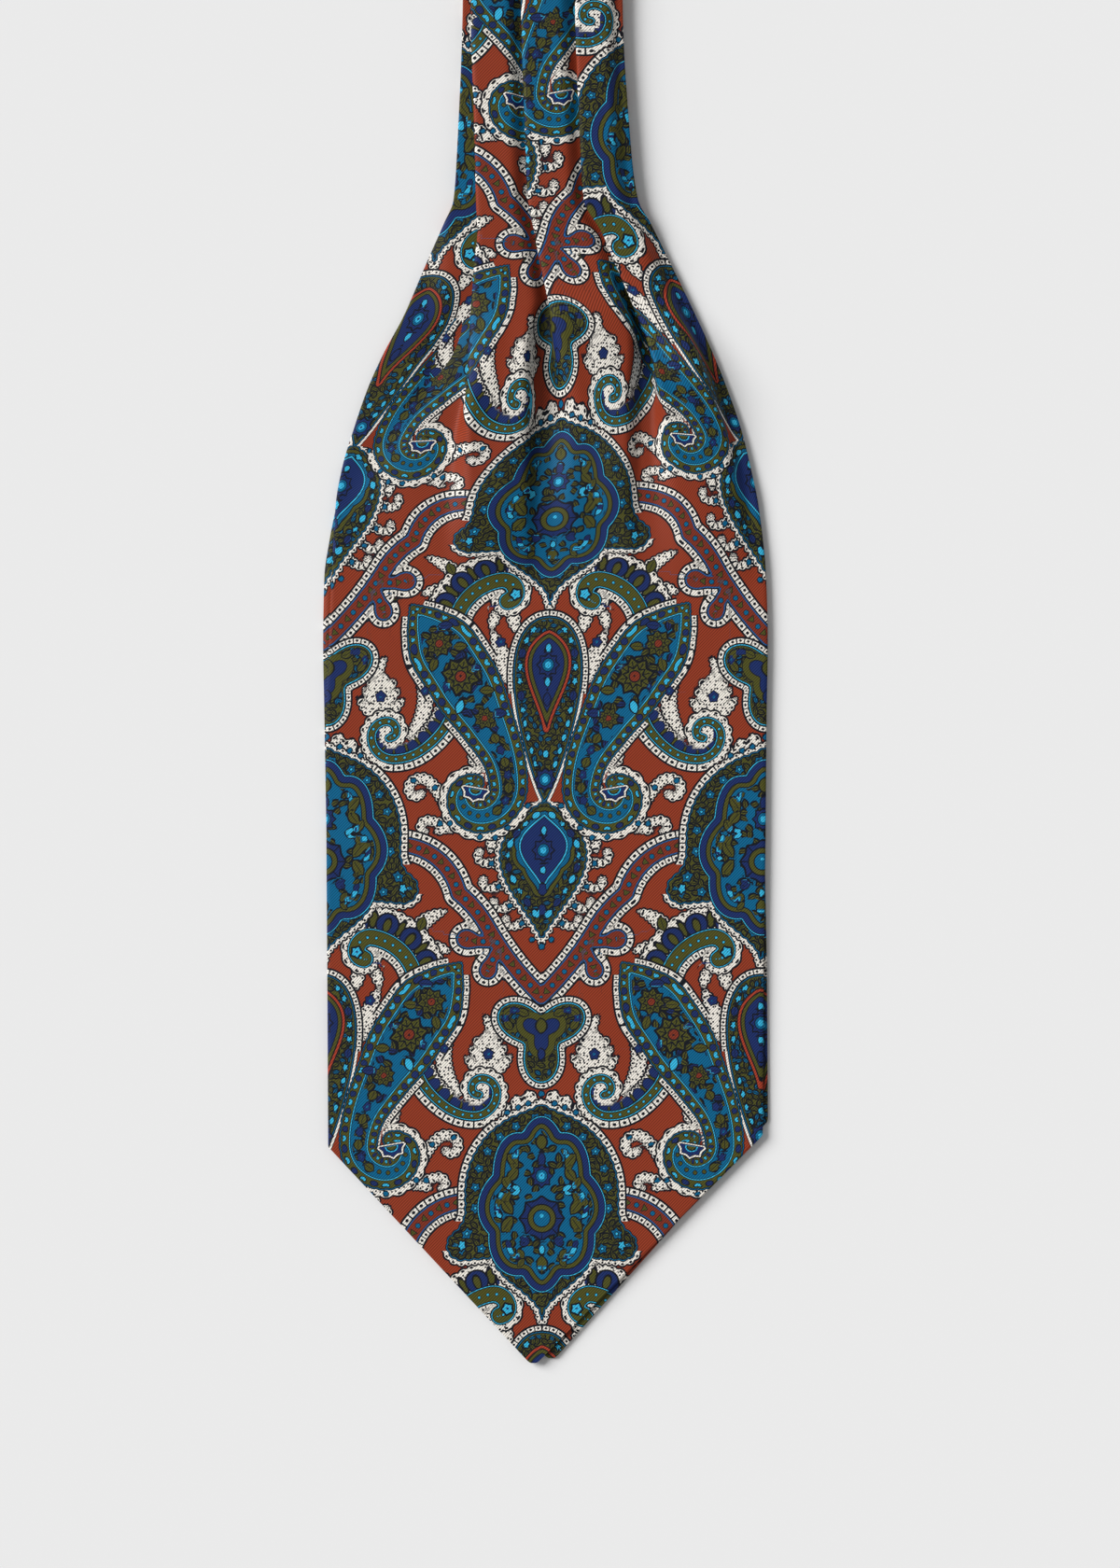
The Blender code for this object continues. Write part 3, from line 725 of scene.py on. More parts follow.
# rows inside the borders and between an edge and its heart; then the boteh's flowers and leaves, and
# dots in the ivory.  Line, first and last run, step, out, turn, half length, half width, kinds.
for line, first, last, step, *rest in (
        (RIMS["lobes"], 7, 84, 4.6, 6.6, 20, 1.5, 0.9, SKY_LEAF, OLIVE_LEAF, NAVY_LEAF),
        (RIMS["spear"], 8, 42, 5.2, 2.2, 0, 1.8, 1.2, SKY_FLOWER, SKY_FLOWER, NAVY_LEAF),
        (RIMS["spear"], 44, 62, 5.0, 2.0, 0, 1.5, 0.8, SKY_LEAF),
        (RIMS["onion"], 5, 56, 5.0, 2.4, 0, 1.8, 1.1, SKY_LEAF, SKY_FLOWER, NAVY_LEAF),
        (RIMS["trefoil"], 6, 26, 4.5, 2.6, 0, 2.0, 1.3, OLIVE_LEAF, NAVY_BUD),
        (BOTEH[0], 17, 18, 9.0, 0, 0, 4.8, 4.8, OLIVE_FLOWER),
        (BOTEH[0], 31, 32, 9.0, 0, 0, 6.6, 6.6, OLIVE_FLOWER),
        (BOTEH[0], 48, 49, 9.0, 0, 0, 3.8, 3.8, OLIVE_FLOWER),
        (BOTEH[0], 13, 50, 9.0, 5.4, 60, 2.6, 1.4, NAVY_LEAF, OLIVE_LEAF),
        (BOTEH[0], 22, 44, 9.0, -5.6, -50, 2.6, 1.4, OLIVE_LEAF, NAVY_BUD, SKY_LEAF),
        (BOTEH[0], 56, 84, 4.6, 0, 0, 1.9, 1.5, OLIVE_LEAF, NAVY_BUD),
        (BOTEH[0], 84, 102, 6.0, 7.2, 0, 1.1, 1.1, TEAL_DOT),
        (BOTEH[0], 78, 79, 6.0, 8.0, 0, 1.1, 1.1, TEAL_DOT),
        (RIMS["onion"], 20, 60, 7.5, -3.4, 0, 1.1, 1.1, TEAL_DOT),
        (RIMS["medallion"], 4, 16, 4.0, -2.6, 0, 1.1, 1.1, TEAL_DOT),
        (HOOKS[0], 5, 15, 9.0, 0, 0, 1.1, 1.1, TEAL_DOT), (HOOKS[1], 4, 5, 9.0, 0, 0, 1.1, 1.1, TEAL_DOT)):
    BLOOMS += blooms_on(line, np.arange(first, last, step), *rest)
print("flowers, leaves and dots:", len(BLOOMS))

# %% [markdown]
# ## Measuring how far each point of cloth lies from each line
#
# The pattern isn't a picture: each vertex of the silk carries a few distances, in millimetres.  For a
# stroke these are the distance past its edge, how far along it the nearest point lies, and the distance
# to its middle line with a sign for the side.  The shader turns them into ink lines, rows of tiles and
# scallops, which stay sharp at any distance, because distances change evenly between two vertices.  The
# other way, an image, would be blurred by the folds.  The cell repeats and is mirrored, and every
# second one drops by half a repeat, so a point is folded back into a cell twice and keeps the nearer.

# %% Distances in numpy
REPEAT_ACROSS = 155.0
REPEAT_ALONG = 252.0
CELL_START = 102.3       # v of a medallion's middle on the mirror line
CELL_TOP = -82.0         # the cell's first y
FAR = 60.0
REACH = 19.0             # this far from a stroke's middle line it no longer matters
ROW_OUT = 2.0            # round a stroke's end the run is measured this far past its edge
CHUNK = 6000             # points at a time, to keep the arrays small


def cell_places(u, v, dropped):
    """x and y in the cell: u folded about the mirror lines, v wrapped over one repeat."""
    u = u - dropped * REPEAT_ACROSS / 2
    v = v - CELL_START - dropped * REPEAT_ALONG / 2
    x = np.abs(np.mod(u + REPEAT_ACROSS / 2, REPEAT_ACROSS) - REPEAT_ACROSS / 2)
    return np.stack([x, np.mod(v - CELL_TOP, REPEAT_ALONG) + CELL_TOP], axis=-1)


def nearest_on(places, strokes):
    """For each place: distance past the nearest stroke's edge, run along it, signed distance to it."""
    line = np.concatenate(strokes)
    result = np.tile([FAR, 0.0, -FAR], (len(places), 1))
    low, high = line[:, :2].min(0) - REACH, line[:, :2].max(0) + REACH
    near = np.flatnonzero(((places > low) & (places < high)).all(1))
    for start in range(0, len(near), CHUNK):
        rows = near[start:start + CHUNK]
        p = places[rows]
        away = np.hypot(p[:, :1] - line[:, 0], p[:, 1:] - line[:, 1]) - line[:, 3]
        best = line[away.argmin(1)]
        run, half, heading, end = best[:, 2], best[:, 3], best[:, 4:6], best[:, 6]
        to = p - best[:, :2]
        reach = (to * heading).sum(1)
        side = heading[:, 0] * to[:, 1] - heading[:, 1] * to[:, 0]
        ahead = np.clip(reach, -PATH_STEP / 2, PATH_STEP / 2)
        away = np.hypot(*(to - ahead[:, None] * heading).T)
        beyond = end * reach
        round_end = end * np.arctan2(beyond, np.abs(side)) * (half + ROW_OUT)
        run = run + np.where(beyond > 0, round_end, ahead)
        result[rows] = np.column_stack([away - half, run, np.where(side < 0, -away, away)])
    return result


def both_cells(u, v, measure):
    """A measure taken in the upright and the dropped cell, keeping the one that lies nearer."""
    one = measure(cell_places(u, v, 0))
    other = measure(cell_places(u, v, 1))
    return np.where(one[:, :1] <= other[:, :1], one, other)


def inside_out(measured):
    """An outline's own distance, negative inside it: there the signed distance is positive."""
    return np.where(measured[:, 2] > 0, -measured[:, 0], measured[:, 0])


def nearest_bloom(places):
    """Guard distance, then the place in the bloom's own axes over its half sizes, its kind and size."""
    table = np.array(BLOOMS, float)
    turn = np.radians(table[:, 2])
    size = np.sqrt(table[:, 3] * table[:, 4])
    result = np.empty((len(places), 5))
    for start in range(0, len(places), CHUNK):
        to = places[start:start + CHUNK, None] - table[None, :, :2]
        a = (to[..., 0] * np.cos(turn) + to[..., 1] * np.sin(turn)) / table[:, 3]
        b = (to[..., 1] * np.cos(turn) - to[..., 0] * np.sin(turn)) / table[:, 4]
        guard = (np.hypot(a, b) - 1) * size
        best = guard.argmin(1)
        pick = np.arange(len(best)), best
        result[start:start + CHUNK] = np.column_stack([guard[pick], a[pick], b[pick],
                                                         table[best, 5], size[best]])
    return result


def rim_and_heart(places, rims, hearts):
    """For closed motifs: distance past the nearest edge, run along it, distance past the nearest heart."""
    rim, heart = [nearest_on(places, [RIMS[name] for name in names]) for names in (rims, hearts)]
    return np.column_stack([inside_out(rim), rim[:, 1], inside_out(heart)])


def print_marks(u, v):
    """Every distance that the print is drawn from, as named columns of three numbers a point."""
    u, v = u.ravel(), v.ravel()
    marks = {"cloth": np.column_stack([u, v, 0 * u])}
    for name, strokes in (("lattice", LATTICE), ("boteh", BOTEH), ("scroll", SCROLL), ("spray", FLAME)):
        marks[name] = both_cells(u, v, lambda p: nearest_on(p, strokes))
    marks["medallion"] = both_cells(u, v, lambda p: rim_and_heart(p, ["medallion"], ["lobes"]))
    on_axis = ["spear", "onion", "trefoil"]
    hearts = [name + " heart" for name in on_axis]
    marks["axis"] = both_cells(u, v, lambda p: rim_and_heart(p, on_axis, hearts))
    upright, dropped = cell_places(u, v, 0), cell_places(u, v, 1)
    place = np.where(upright[:, :1] < REPEAT_ACROSS / 4, upright, dropped)
    marks["place"] = np.column_stack([place, 0 * u])
    bloom = both_cells(u, v, nearest_bloom)
    marks["bloom"] = bloom[:, [1, 2, 0]]
    marks["kind"] = np.column_stack([bloom[:, 3:], 0 * u])
    return marks


print("marks carried by the silk:", ", ".join(print_marks(np.zeros(1), np.zeros(1))))

# %% [markdown]
# ## A closed shell from one surface
#
# Cloth has two faces and an edge.  The outer face needs all the grid's points, because it carries the
# print, but the inner face is hardly seen and takes every second one.  The edge joins the two: three
# triangles for each step of the coarse side.  Near the rim the wall thins, so that the edge is round
# like a turned hem.

# %% Shells
RIM_SHARE = 0.35         # of the wall, that is left at the very edge
BAKE_MARGIN = 0.01


def surface_normals(grid):
    """Unit normals of a grid: the cross product of its two directions, across times along."""
    along = np.gradient(grid, axis=0)
    across = np.gradient(grid, axis=1)
    normal = np.cross(across, along)
    return normal / np.linalg.norm(normal, axis=-1, keepdims=True)


def hem_profile(rows, columns):
    """The share of the wall at each point: less on the outermost ring, whole inside it."""
    share = np.ones((rows, columns))
    share[[0, -1], :] = RIM_SHARE
    share[:, [0, -1]] = RIM_SHARE
    return share[..., None]


def ring_indices(index):
    """The outermost ring of an index grid, once round against the clock seen from above."""
    return np.concatenate([index[0, :-1], index[:-1, -1], index[-1, :0:-1], index[:0:-1, 0]])


def closed_faces(rows, columns):
    """The faces of a shell: the fine grid, every second point of the other face, and the edge between.

    Gives the outer quads, the inner quads and the edge's triangles as vertex numbers."""
    fine = np.arange(rows * columns).reshape(rows, columns)
    half_rows, half_columns = (rows + 1) // 2, (columns + 1) // 2
    coarse = rows * columns + np.arange(half_rows * half_columns).reshape(half_rows, half_columns)
    top, back = [np.stack([index[:-1, :-1], index[:-1, 1:], index[1:, 1:], index[1:, :-1]], -1).reshape(-1, 4)
                 for index in (fine, coarse)]
    outer, inner = ring_indices(fine), ring_indices(coarse)
    a, b, c = outer[0::2], outer[1::2], np.roll(outer, -1)[1::2]
    d, e = inner, np.roll(inner, -1)
    rim = np.concatenate([np.stack(corners, 1) for corners in ((b, a, d), (b, d, e), (c, b, e))])
    return top, back[:, ::-1], rim


def in_strip(left, wide, across, along):
    """Places in an upright strip of the bake map, from shares of its width and height, as a list."""
    places = (left + wide * across, BAKE_MARGIN + (1 - 2 * BAKE_MARGIN) * along)
    return np.stack(np.broadcast_arrays(*places), -1).reshape(-1, 2)


def bake_corners(rows, columns, top, back, rim):
    """The bake map of a shell: its outer face in two strips, the inner face and the rim in two more."""
    row, column = np.divmod(np.arange(rows * columns), columns)
    half_row, half_column = np.divmod(np.arange(((rows + 1) // 2) * ((columns + 1) // 2)), (columns + 1) // 2)
    along = np.concatenate([row, 2 * half_row]) / (rows - 1)
    across = np.concatenate([column, 2 * half_column]) / (columns - 1)
    second = along[top].mean(1, keepdims=True) > 0.5
    number = np.arange(len(rim))[:, None] / len(rim)
    return np.concatenate([in_strip(0.01 + 0.4 * second, 0.39, across[top], 2 * along[top] - second),
                           in_strip(0.81, 0.15, across[back], along[back]),
                           in_strip(0.97, 0.02, np.array([0, 1, 0.5]),
                                    0.99 * number + np.array([0, 0, 0.002]))])


def mesh_object(name, points, face_groups, corner_map, marks):
    """A mesh from whole arrays: points in mm, groups of faces, a map for each corner, marks a point."""
    mesh = bpy.data.meshes.new(name)
    corners = np.concatenate([g.ravel() for g in face_groups])
    sizes = np.concatenate([np.full(len(g), g.shape[1]) for g in face_groups])
    mesh.vertices.add(len(points))
    mesh.vertices.foreach_set("co", (points * MM).astype(np.float32).ravel())
    mesh.loops.add(len(corners))
    mesh.loops.foreach_set("vertex_index", corners.astype(np.int32))
    mesh.polygons.add(len(sizes))
    mesh.polygons.foreach_set("loop_start", np.concatenate([[0], np.cumsum(sizes)[:-1]]).astype(np.int32))
    mesh.update(calc_edges=True)
    layer = mesh.uv_layers.new(name="OFBake")
    layer.uv.foreach_set("vector", corner_map.astype(np.float32).ravel())
    for mark, values in marks.items():
        held = mesh.attributes.new(mark, "FLOAT_VECTOR", "POINT")
        held.data.foreach_set("vector", values.astype(np.float32).ravel())
    mesh.shade_smooth()
    return placed(name, mesh)


def silk_shell(name, top, bottom, u, v):
    """A closed shell between two grids of the same size, marked with its print."""
    rows, columns = u.shape
    top_faces, back_faces, rim = closed_faces(rows, columns)
    marks = print_marks(u, v)
    every_second = np.arange(rows * columns).reshape(rows, columns)[::2, ::2].ravel()
    marks = {k: np.concatenate([m, m[every_second]]) for k, m in marks.items()}
    points = np.concatenate([top.reshape(-1, 3), bottom[::2, ::2].reshape(-1, 3)])
    corner_map = bake_corners(rows, columns, top_faces, back_faces, rim)
    return mesh_object(name, points, [top_faces, back_faces, rim], corner_map, marks)


# %% Front length
front_out = surface_normals(front_grid) * hem_profile(*front_grid.shape[:2]) * SILK_WALL / 2
front_silk = silk_shell("front_silk", front_grid + front_out, front_grid - front_out, front_u, front_v)
print("front silk:", len(front_silk.data.vertices), "points,", len(front_silk.data.polygons), "faces")

# %% [markdown]
# ## The under length
#
# The other half of the cravat lies under the first, a little askew, so its edges and its point show by
# a few millimetres.  Its blade is one shell from the flat underside to the face.  Under the neckband
# its pleats lie three deep, and nothing of them shows but their folded edges, so they are one stack
# whose sides are rounded three times.

# %% Under blade
UNDER_STEP = 1.3
UNDER_SHARE = even_steps(0, 1, UNDER_STEP / 155)   # across its width, which is about 155 mm
UNDER_ROLL = 0.48        # its edge rounds off over this width
UNDER_ASKEW = 1.0        # how far its print lies from the front's, mm


def under_blade_surface():
    """The blade's x, y, top and bottom in mm: rows from its point to the stitches, shares of its width."""
    down = blade_rows(UNDER_TIP, GAP, UNDER_STEP)[:, None]
    left, right = [blade_edge(UNDER_EDGES, UNDER_CORNER, UNDER_TIP, side, down) for side in ("left", "right")]
    wide = right - left
    roll = np.minimum(UNDER_ROLL, 0.2 * wide)
    x = np.concatenate([left, left + roll + (wide - 2 * roll) * UNDER_SHARE, right], axis=1)
    z = under_height(x, down) * np.ones_like(x)
    hem = (1 - hem_profile(*x.shape)[..., 0]) / 2
    return x, TACK_Y - down + 0 * x, z * (1 - hem), z * hem


x, y, top_z, bottom_z = under_blade_surface()
under_blade_silk = silk_shell("under_blade_silk", np.stack([x, y, top_z], -1), np.stack([x, y, bottom_z], -1),
                              x + UNDER_ASKEW, TACK_Y - y - UNDER_ASKEW)
print("under blade:", len(under_blade_silk.data.vertices), "points")

# %% Under neckband
BAND_ROW = 2.0
BAND_COLUMNS = 40
BAND_SPREAD = 1.6        # how much cloth a millimetre across it stands for
LAYER_ARC = 6
WALL_WIDE = 0.94         # of the bake map; the ends lie beside it


def under_band_surface():
    """A ring for each row: along the flat underside, up three round layers, back along the top."""
    down = even_steps(-GAP / 2, FOLD_DOWN + GAP, BAND_ROW)
    left, right = [smooth_column(FRONT_EDGES, side, down)[:, None] for side in ("left", "right")]
    arc = np.linspace(-math.pi / 2, math.pi / 2, LAYER_ARC + 1)
    inset = np.concatenate([BAND_INSET[k] + 0.5 * FRONT_WALL * (1 - np.cos(arc)) for k in range(LAYERS)])
    height = np.concatenate([LAYER_PITCH * k + FRONT_WALL / 2 * (1 + np.sin(arc)) for k in range(LAYERS)])
    share = np.linspace(0, 1, BAND_COLUMNS + 2)[1:-1]
    low_right, high_right = right - inset[0], right - inset[-1]
    low_left, high_left = left + inset[0], left + inset[-1]
    x = np.concatenate([low_left + (low_right - low_left) * share, right - inset,
                        high_right + (high_left - high_right) * share, left + inset[::-1]], axis=1)
    z = np.concatenate([0 * share, height, 0 * share + STACK, height[::-1]]) + 0 * x
    return np.stack([x, TACK_Y - down[:, None] + 0 * x, z], axis=-1), down


def band_object(name, rings, down):
    """A tube from the rings, its two ends covered by strips from side to side.

    Both ends are out of sight and not clean.  Along the underside the strips have no area and lie
    double, and the last strip's edge is not joined to the points of the top."""
    rows, count = rings.shape[:2]
    index = np.arange(rows * count).reshape(rows, count)
    step = np.roll(index, -1, axis=1)
    walls = np.stack([index[:-1], step[:-1], step[1:], index[1:]], -1).reshape(-1, 4)
    over = np.roll(np.arange(count)[::-1], BAND_COLUMNS)[:count // 2]
    cap = np.stack([np.arange(count // 2 - 1), over[:-1], over[1:], np.arange(1, count // 2)], -1)
    ends = np.concatenate([index[0][cap], index[-1][cap][:, ::-1]])
    wall_map = in_strip(BAKE_MARGIN, WALL_WIDE, np.arange(count) / count,
                        np.linspace(0, 0.99, rows)[:, None])[walls]
    across = wall_map[..., 0]
    across += WALL_WIDE * ((np.ptp(across, axis=1, keepdims=True) > 0.5) & (across < 0.5))
    end_map = in_strip(0.96, 0.03, np.array([0, 1, 1, 0]), np.array([0, 0, 0.003, 0.003])
                       + 0.99 * np.arange(len(ends))[:, None] / len(ends))
    corner_map = np.concatenate([wall_map.reshape(-1, 2), end_map])
    u = rings[..., 0] * BAND_SPREAD
    marks = print_marks(u, down[:, None] + 0 * u)
    return mesh_object(name, rings.reshape(-1, 3), [walls, ends], corner_map, marks)


under_band_silk = band_object("under_band_silk", *under_band_surface())
print("under neckband:", len(under_band_silk.data.vertices), "points")

# %% [markdown]
# ## Mixing the print in the shader
#
# The marks become colour with many small sums.  To keep them readable, a number in the node tree gets
# Python's own signs: each +, -, * or < on it adds one Math node, and & keeps what lies within two masks.


# %% Numbers in a node tree
class Number:
    """A value in a node tree.  Signs and methods on it add Math nodes and give the new value."""

    def __init__(self, tree, socket):
        self.tree, self.socket = tree, socket

    def sum_of(self, operation, *others):
        node = self.tree.nodes.new("ShaderNodeMath")
        node.operation = operation
        return Number(self.tree, feed(self.tree, node, self, *others).outputs[0])

    __add__ = partialmethod(sum_of, "ADD")
    __sub__ = partialmethod(sum_of, "SUBTRACT")
    __mul__ = __and__ = partialmethod(sum_of, "MULTIPLY")
    __truediv__ = partialmethod(sum_of, "DIVIDE")
    __lt__ = partialmethod(sum_of, "LESS_THAN")
    __gt__ = partialmethod(sum_of, "GREATER_THAN")
    __or__ = most = partialmethod(sum_of, "MAXIMUM")
    __abs__ = partialmethod(sum_of, "ABSOLUTE")
    no = partialmethod(sum_of, "LESS_THAN", 0.5)
    mod = partialmethod(sum_of, "FLOORED_MODULO")
    root = partialmethod(sum_of, "SQRT")
    sine = partialmethod(sum_of, "SINE")
    cosine = partialmethod(sum_of, "COSINE")
    turn_of = partialmethod(sum_of, "ARCTAN2")

    def between(self, low, high):
        return (self > low) & (self < high)

    def repeat(self, pitch):
        """How far it lies from the middle of its step, for steps of a pitch."""
        return self.mod(pitch) - pitch * 0.5

    def long(self, other):
        """The length of the arrow with these two sides."""
        return (self * self + other * other).root()

    def bowed(self, run, pitch, depth):
        """A distance to an edge, less depth times |sin| of the run: the edge bows out once a pitch."""
        return self - abs((run * math.pi / pitch).sine()) * depth


print("signs of a number:", "+ - * / < > & | abs")


# %% Joining nodes
def join(tree, value, place):
    """Gives a socket its value: a link from a number or another socket, or a constant."""
    value = value.socket if isinstance(value, Number) else value
    if isinstance(value, bpy.types.NodeSocket):
        tree.links.new(value, place)
    else:
        place.default_value = value


def feed(tree, node, *values):
    """Gives a node's inputs their values in turn."""
    for place, value in zip(node.inputs, values):
        join(tree, value, place)
    return node


def mix(tree, share, low, high, blend="MIX"):
    """A colour mixed from two others by a share."""
    node = tree.nodes.new("ShaderNodeMix")
    node.data_type, node.blend_type = "RGBA", blend
    for k, value in ((0, share), (6, low), (7, high)):
        join(tree, value, node.inputs[k])
    return node.outputs[2]


def place_group(tree, group, *values):
    """Places a group in a tree, feeds it, and gives its outputs as numbers."""
    node = tree.nodes.new("ShaderNodeGroup")
    node.node_tree = group
    return [Number(tree, out) for out in feed(tree, node, *values).outputs]


def joined(tree, across, along):
    """Two numbers as one vector."""
    return feed(tree, tree.nodes.new("ShaderNodeCombineXYZ"), across, along).outputs[0]


def parts_of(tree, vector):
    """The three numbers of a vector."""
    parts = feed(tree, tree.nodes.new("ShaderNodeSeparateXYZ"), vector)
    return [Number(tree, out) for out in parts.outputs]


def mark(tree, name):
    """The three numbers of a mark that the silk carries."""
    node = tree.nodes.new("ShaderNodeAttribute")
    node.attribute_type = "GEOMETRY"
    node.attribute_name = name
    return parts_of(tree, node.outputs["Vector"])


def new_group(name, takes, gives, kind="NodeSocketFloat"):
    """An empty shader node group: its tree, the numbers it takes, and the node for what it gives."""
    group = bpy.data.node_groups.new(name, "ShaderNodeTree")
    for title, start in takes.items():
        socket = group.interface.new_socket(title, in_out="INPUT", socket_type="NodeSocketFloat")
        socket.default_value = start
    for title in gives:
        group.interface.new_socket(title, in_out="OUTPUT", socket_type=kind)
    taken = group.nodes.new("NodeGroupInput").outputs[:len(takes)]
    return group, [Number(group, out) for out in taken], group.nodes.new("NodeGroupOutput")


print("nodes can be joined, mixed and put in groups")

# %% Colours of the print
def from_screen(red, green, blue):
    """A screen colour of 0 to 255 a channel as the linear colour that shaders use."""
    c = np.array([red, green, blue]) / 255
    return (*np.where(c < 0.04045, c / 12.92, ((c + 0.055) / 1.055) ** 2.4), 1.0)


RUST = from_screen(147, 57, 32)
DEEP_RUST = from_screen(128, 50, 32)
BAND_BLUE = from_screen(40, 92, 150)
RED = from_screen(168, 62, 40)
TEAL = from_screen(0, 100, 143)
SKY = from_screen(56, 184, 226)
OLIVE = from_screen(80, 80, 30)
NAVY = from_screen(26, 46, 102)
IVORY = from_screen(244, 238, 228)
INK = from_screen(16, 20, 30)
print("colours of the print: rust, deep rust, band blue, red, teal, sky, olive, navy, ivory, ink")

# %% [markdown]
# ## Small parts of the print
#
# Four things come back in many motifs: a row of ivory tiles with a dot in each, a scalloped ivory edge,
# dark commas sprinkled over ivory, and leaves strewn over a field.  Each is a node group of its own
# that puts out masks, so it is built once and placed wherever a motif needs it.


# %% Groups that more than one motif uses
TILE_JOINT = 0.08        # half a joint, as a share of the pitch
TILE_DOT = 0.18          # a dot's radius, as a share of the pitch
OUTER_LINE, INNER_LINE = 0.34, 0.26   # half widths of the lines beside the tiles
SCALLOP_LINE = 0.38      # half width of a scallop's line
SCALLOP_DOT = 0.42
SCALLOP_DOT_IN = 0.95    # how far a scallop's dot lies inside the edge
COMMA_CELLS = 0.75       # cells a millimetre
LEAF_CELLS = 0.36


def tile_row_group():
    """Tiles between two distances: a joint each pitch along, ink on both sides, a dot in each tile."""
    group, (distance, along, inner, outer, pitch), end = new_group("tile_row", {
        "Distance": 0.0, "Along": 0.0, "Inner": 0.3, "Outer": 3.0, "Pitch": 3.1}, ["Row", "Ink"])
    row = (distance > inner) & (distance < outer)
    across = along.repeat(pitch)
    joint = abs(across) > pitch * (0.5 - TILE_JOINT)
    dot = across.long(distance - (inner + outer) * 0.5) < pitch * TILE_DOT
    line = (abs(distance - outer) < OUTER_LINE) | (abs(distance - inner) < INNER_LINE)
    feed(group, end, row, (row & (joint | dot)) | line)
    return group


def scallop_group():
    """A scalloped ivory edge: the bowed distance, the ivory, its ink line and a dot in each bow."""
    group, (distance, along, pitch, depth), end = new_group("scalloped_edge", {
        "Distance": 0.0, "Along": 0.0, "Pitch": 2.6, "Depth": 0.8}, ["Edge", "Ivory", "Ink"])
    edge = distance.bowed(along, pitch, depth)
    dot = along.repeat(pitch).long(distance - depth + SCALLOP_DOT_IN) < SCALLOP_DOT
    feed(group, end, edge, edge < 0.0, (abs(edge - 0.03) < SCALLOP_LINE) | dot)
    return group


def strewn(group, across, along, scale, uneven):
    """Cells strewn over the cloth: where a point lies from its cell's middle, in mm, and two chances."""
    cells = group.nodes.new("ShaderNodeTexVoronoi")
    cells.voronoi_dimensions = "2D"
    cells.inputs["Scale"].default_value = scale
    cells.inputs["Randomness"].default_value = uneven
    group.links.new(joined(group, across, along), cells.inputs["Vector"])
    x, y, _ = parts_of(group, cells.outputs["Position"])
    return across - x, along - y, *parts_of(group, cells.outputs["Color"])[:2]


def comma_group():
    """Small dark commas strewn thinly: a dot of the given radius in four cells out of five."""
    group, (across, along, size), end = new_group("commas", {
        "Across": 0.0, "Along": 0.0, "Size": 0.3}, ["Ink"])
    x, y, _, chance = strewn(group, across, along, COMMA_CELLS, 0.7)
    feed(group, end, (x.long(y) < size) & (chance > 0.2))
    return group


def leaf_group():
    """Leaves strewn over a field, each turned by its own angle: a lens of |b| / width + (a / length)^2."""
    group, (across, along, long, wide), end = new_group("strewn_leaves", {
        "Across": 0.0, "Along": 0.0, "Long": 1.7, "Wide": 0.9}, ["Leaf", "Ink", "Chance"])
    x, y, angle, chance = strewn(group, across, along, LEAF_CELLS, 0.75)
    turn = angle * (2 * math.pi)
    cosine, sine = turn.cosine(), turn.sine()
    a = (x * cosine + y * sine) / long
    b = (y * cosine - x * sine) / wide
    lens = abs(b) + a * a
    rib = (abs(b) < 0.17) & (abs(a) < 0.75)
    feed(group, end, lens < 1.0, (abs(lens - 1.18) < 0.42) | rib, chance)
    return group


TILE_ROW, SCALLOPS, COMMAS, LEAVES = tile_row_group(), scallop_group(), comma_group(), leaf_group()
print("groups:", TILE_ROW.name, SCALLOPS.name, COMMAS.name, LEAVES.name)

# %% [markdown]
# ## The paisley, laid down motif by motif
#
# A printer lays one screen after the other, a colour each.  Here it is simpler to go motif by motif:
# colours are laid over each other from the ground up, each through a mask.  The ground is rust.  First
# come the ivory flames, then the lattice, the motifs on the mirror line, the scrolls with their petals,
# the botehs and the medallion, and last the flowers and leaves inside them.  Each is one short function
# that reads its own mark.  In the rows of colours below, each colour is followed by the distance, in
# millimetres, under which it is laid, and a distance below nought lies inside the motif's edge.

# %% A painter that lays the colours
COMMA_SIZE = 0.35
COMMAS_BELOW = -1.2      # how deep in the ivory the commas start
EDGE_LINE = 0.34         # how far the ink line stands out from a scalloped edge


class Painter:
    """Lays colours over each other in a node tree."""

    def __init__(self, tree, ground):
        self.tree = tree
        self.cloth = mark(tree, "cloth")[:2]
        self.commas, = place_group(tree, COMMAS, *self.cloth, COMMA_SIZE)
        self.under = ground

    def lay(self, colour, mask):
        """Lays a colour over what is there, where the mask is 1."""
        self.under = mix(self.tree, mask, self.under, colour)

    def coats(self, value, *coats, within=1.0):
        """Lays colours in turn, each where the value is below the number after it, within a mask."""
        for colour, limit in zip(coats[::2], coats[1::2]):
            self.lay(colour, (value < limit) & within)

    def tiles(self, past, run, inner, outer, pitch, within=1.0):
        """Lays a row of ivory tiles in ink lines."""
        row, ink = place_group(self.tree, TILE_ROW, past, run, inner, outer, pitch)
        self.lay(IVORY, row & within)
        self.lay(INK, ink & within)

    def scallops(self, past, run, pitch, depth, within=1.0, commas=True):
        """Lays ivory with a scalloped edge in an ink line, and commas further in."""
        edge, ivory, ink = place_group(self.tree, SCALLOPS, past, run, pitch, depth)
        whole = (edge < EDGE_LINE) & within
        self.lay(INK, whole)
        self.lay(IVORY, whole & ivory)
        self.lay(INK, whole & (ink | ((edge < COMMAS_BELOW) & self.commas) if commas else ink))

    def leaves(self, closer, long, wide):
        """Strewn leaves on the cloth, closer by the given share: their mask, their ink, a chance each."""
        return place_group(self.tree, LEAVES, *(c * closer for c in self.cloth), long, wide)


print("the ink line of an ivory edge is", EDGE_LINE, "mm wide")

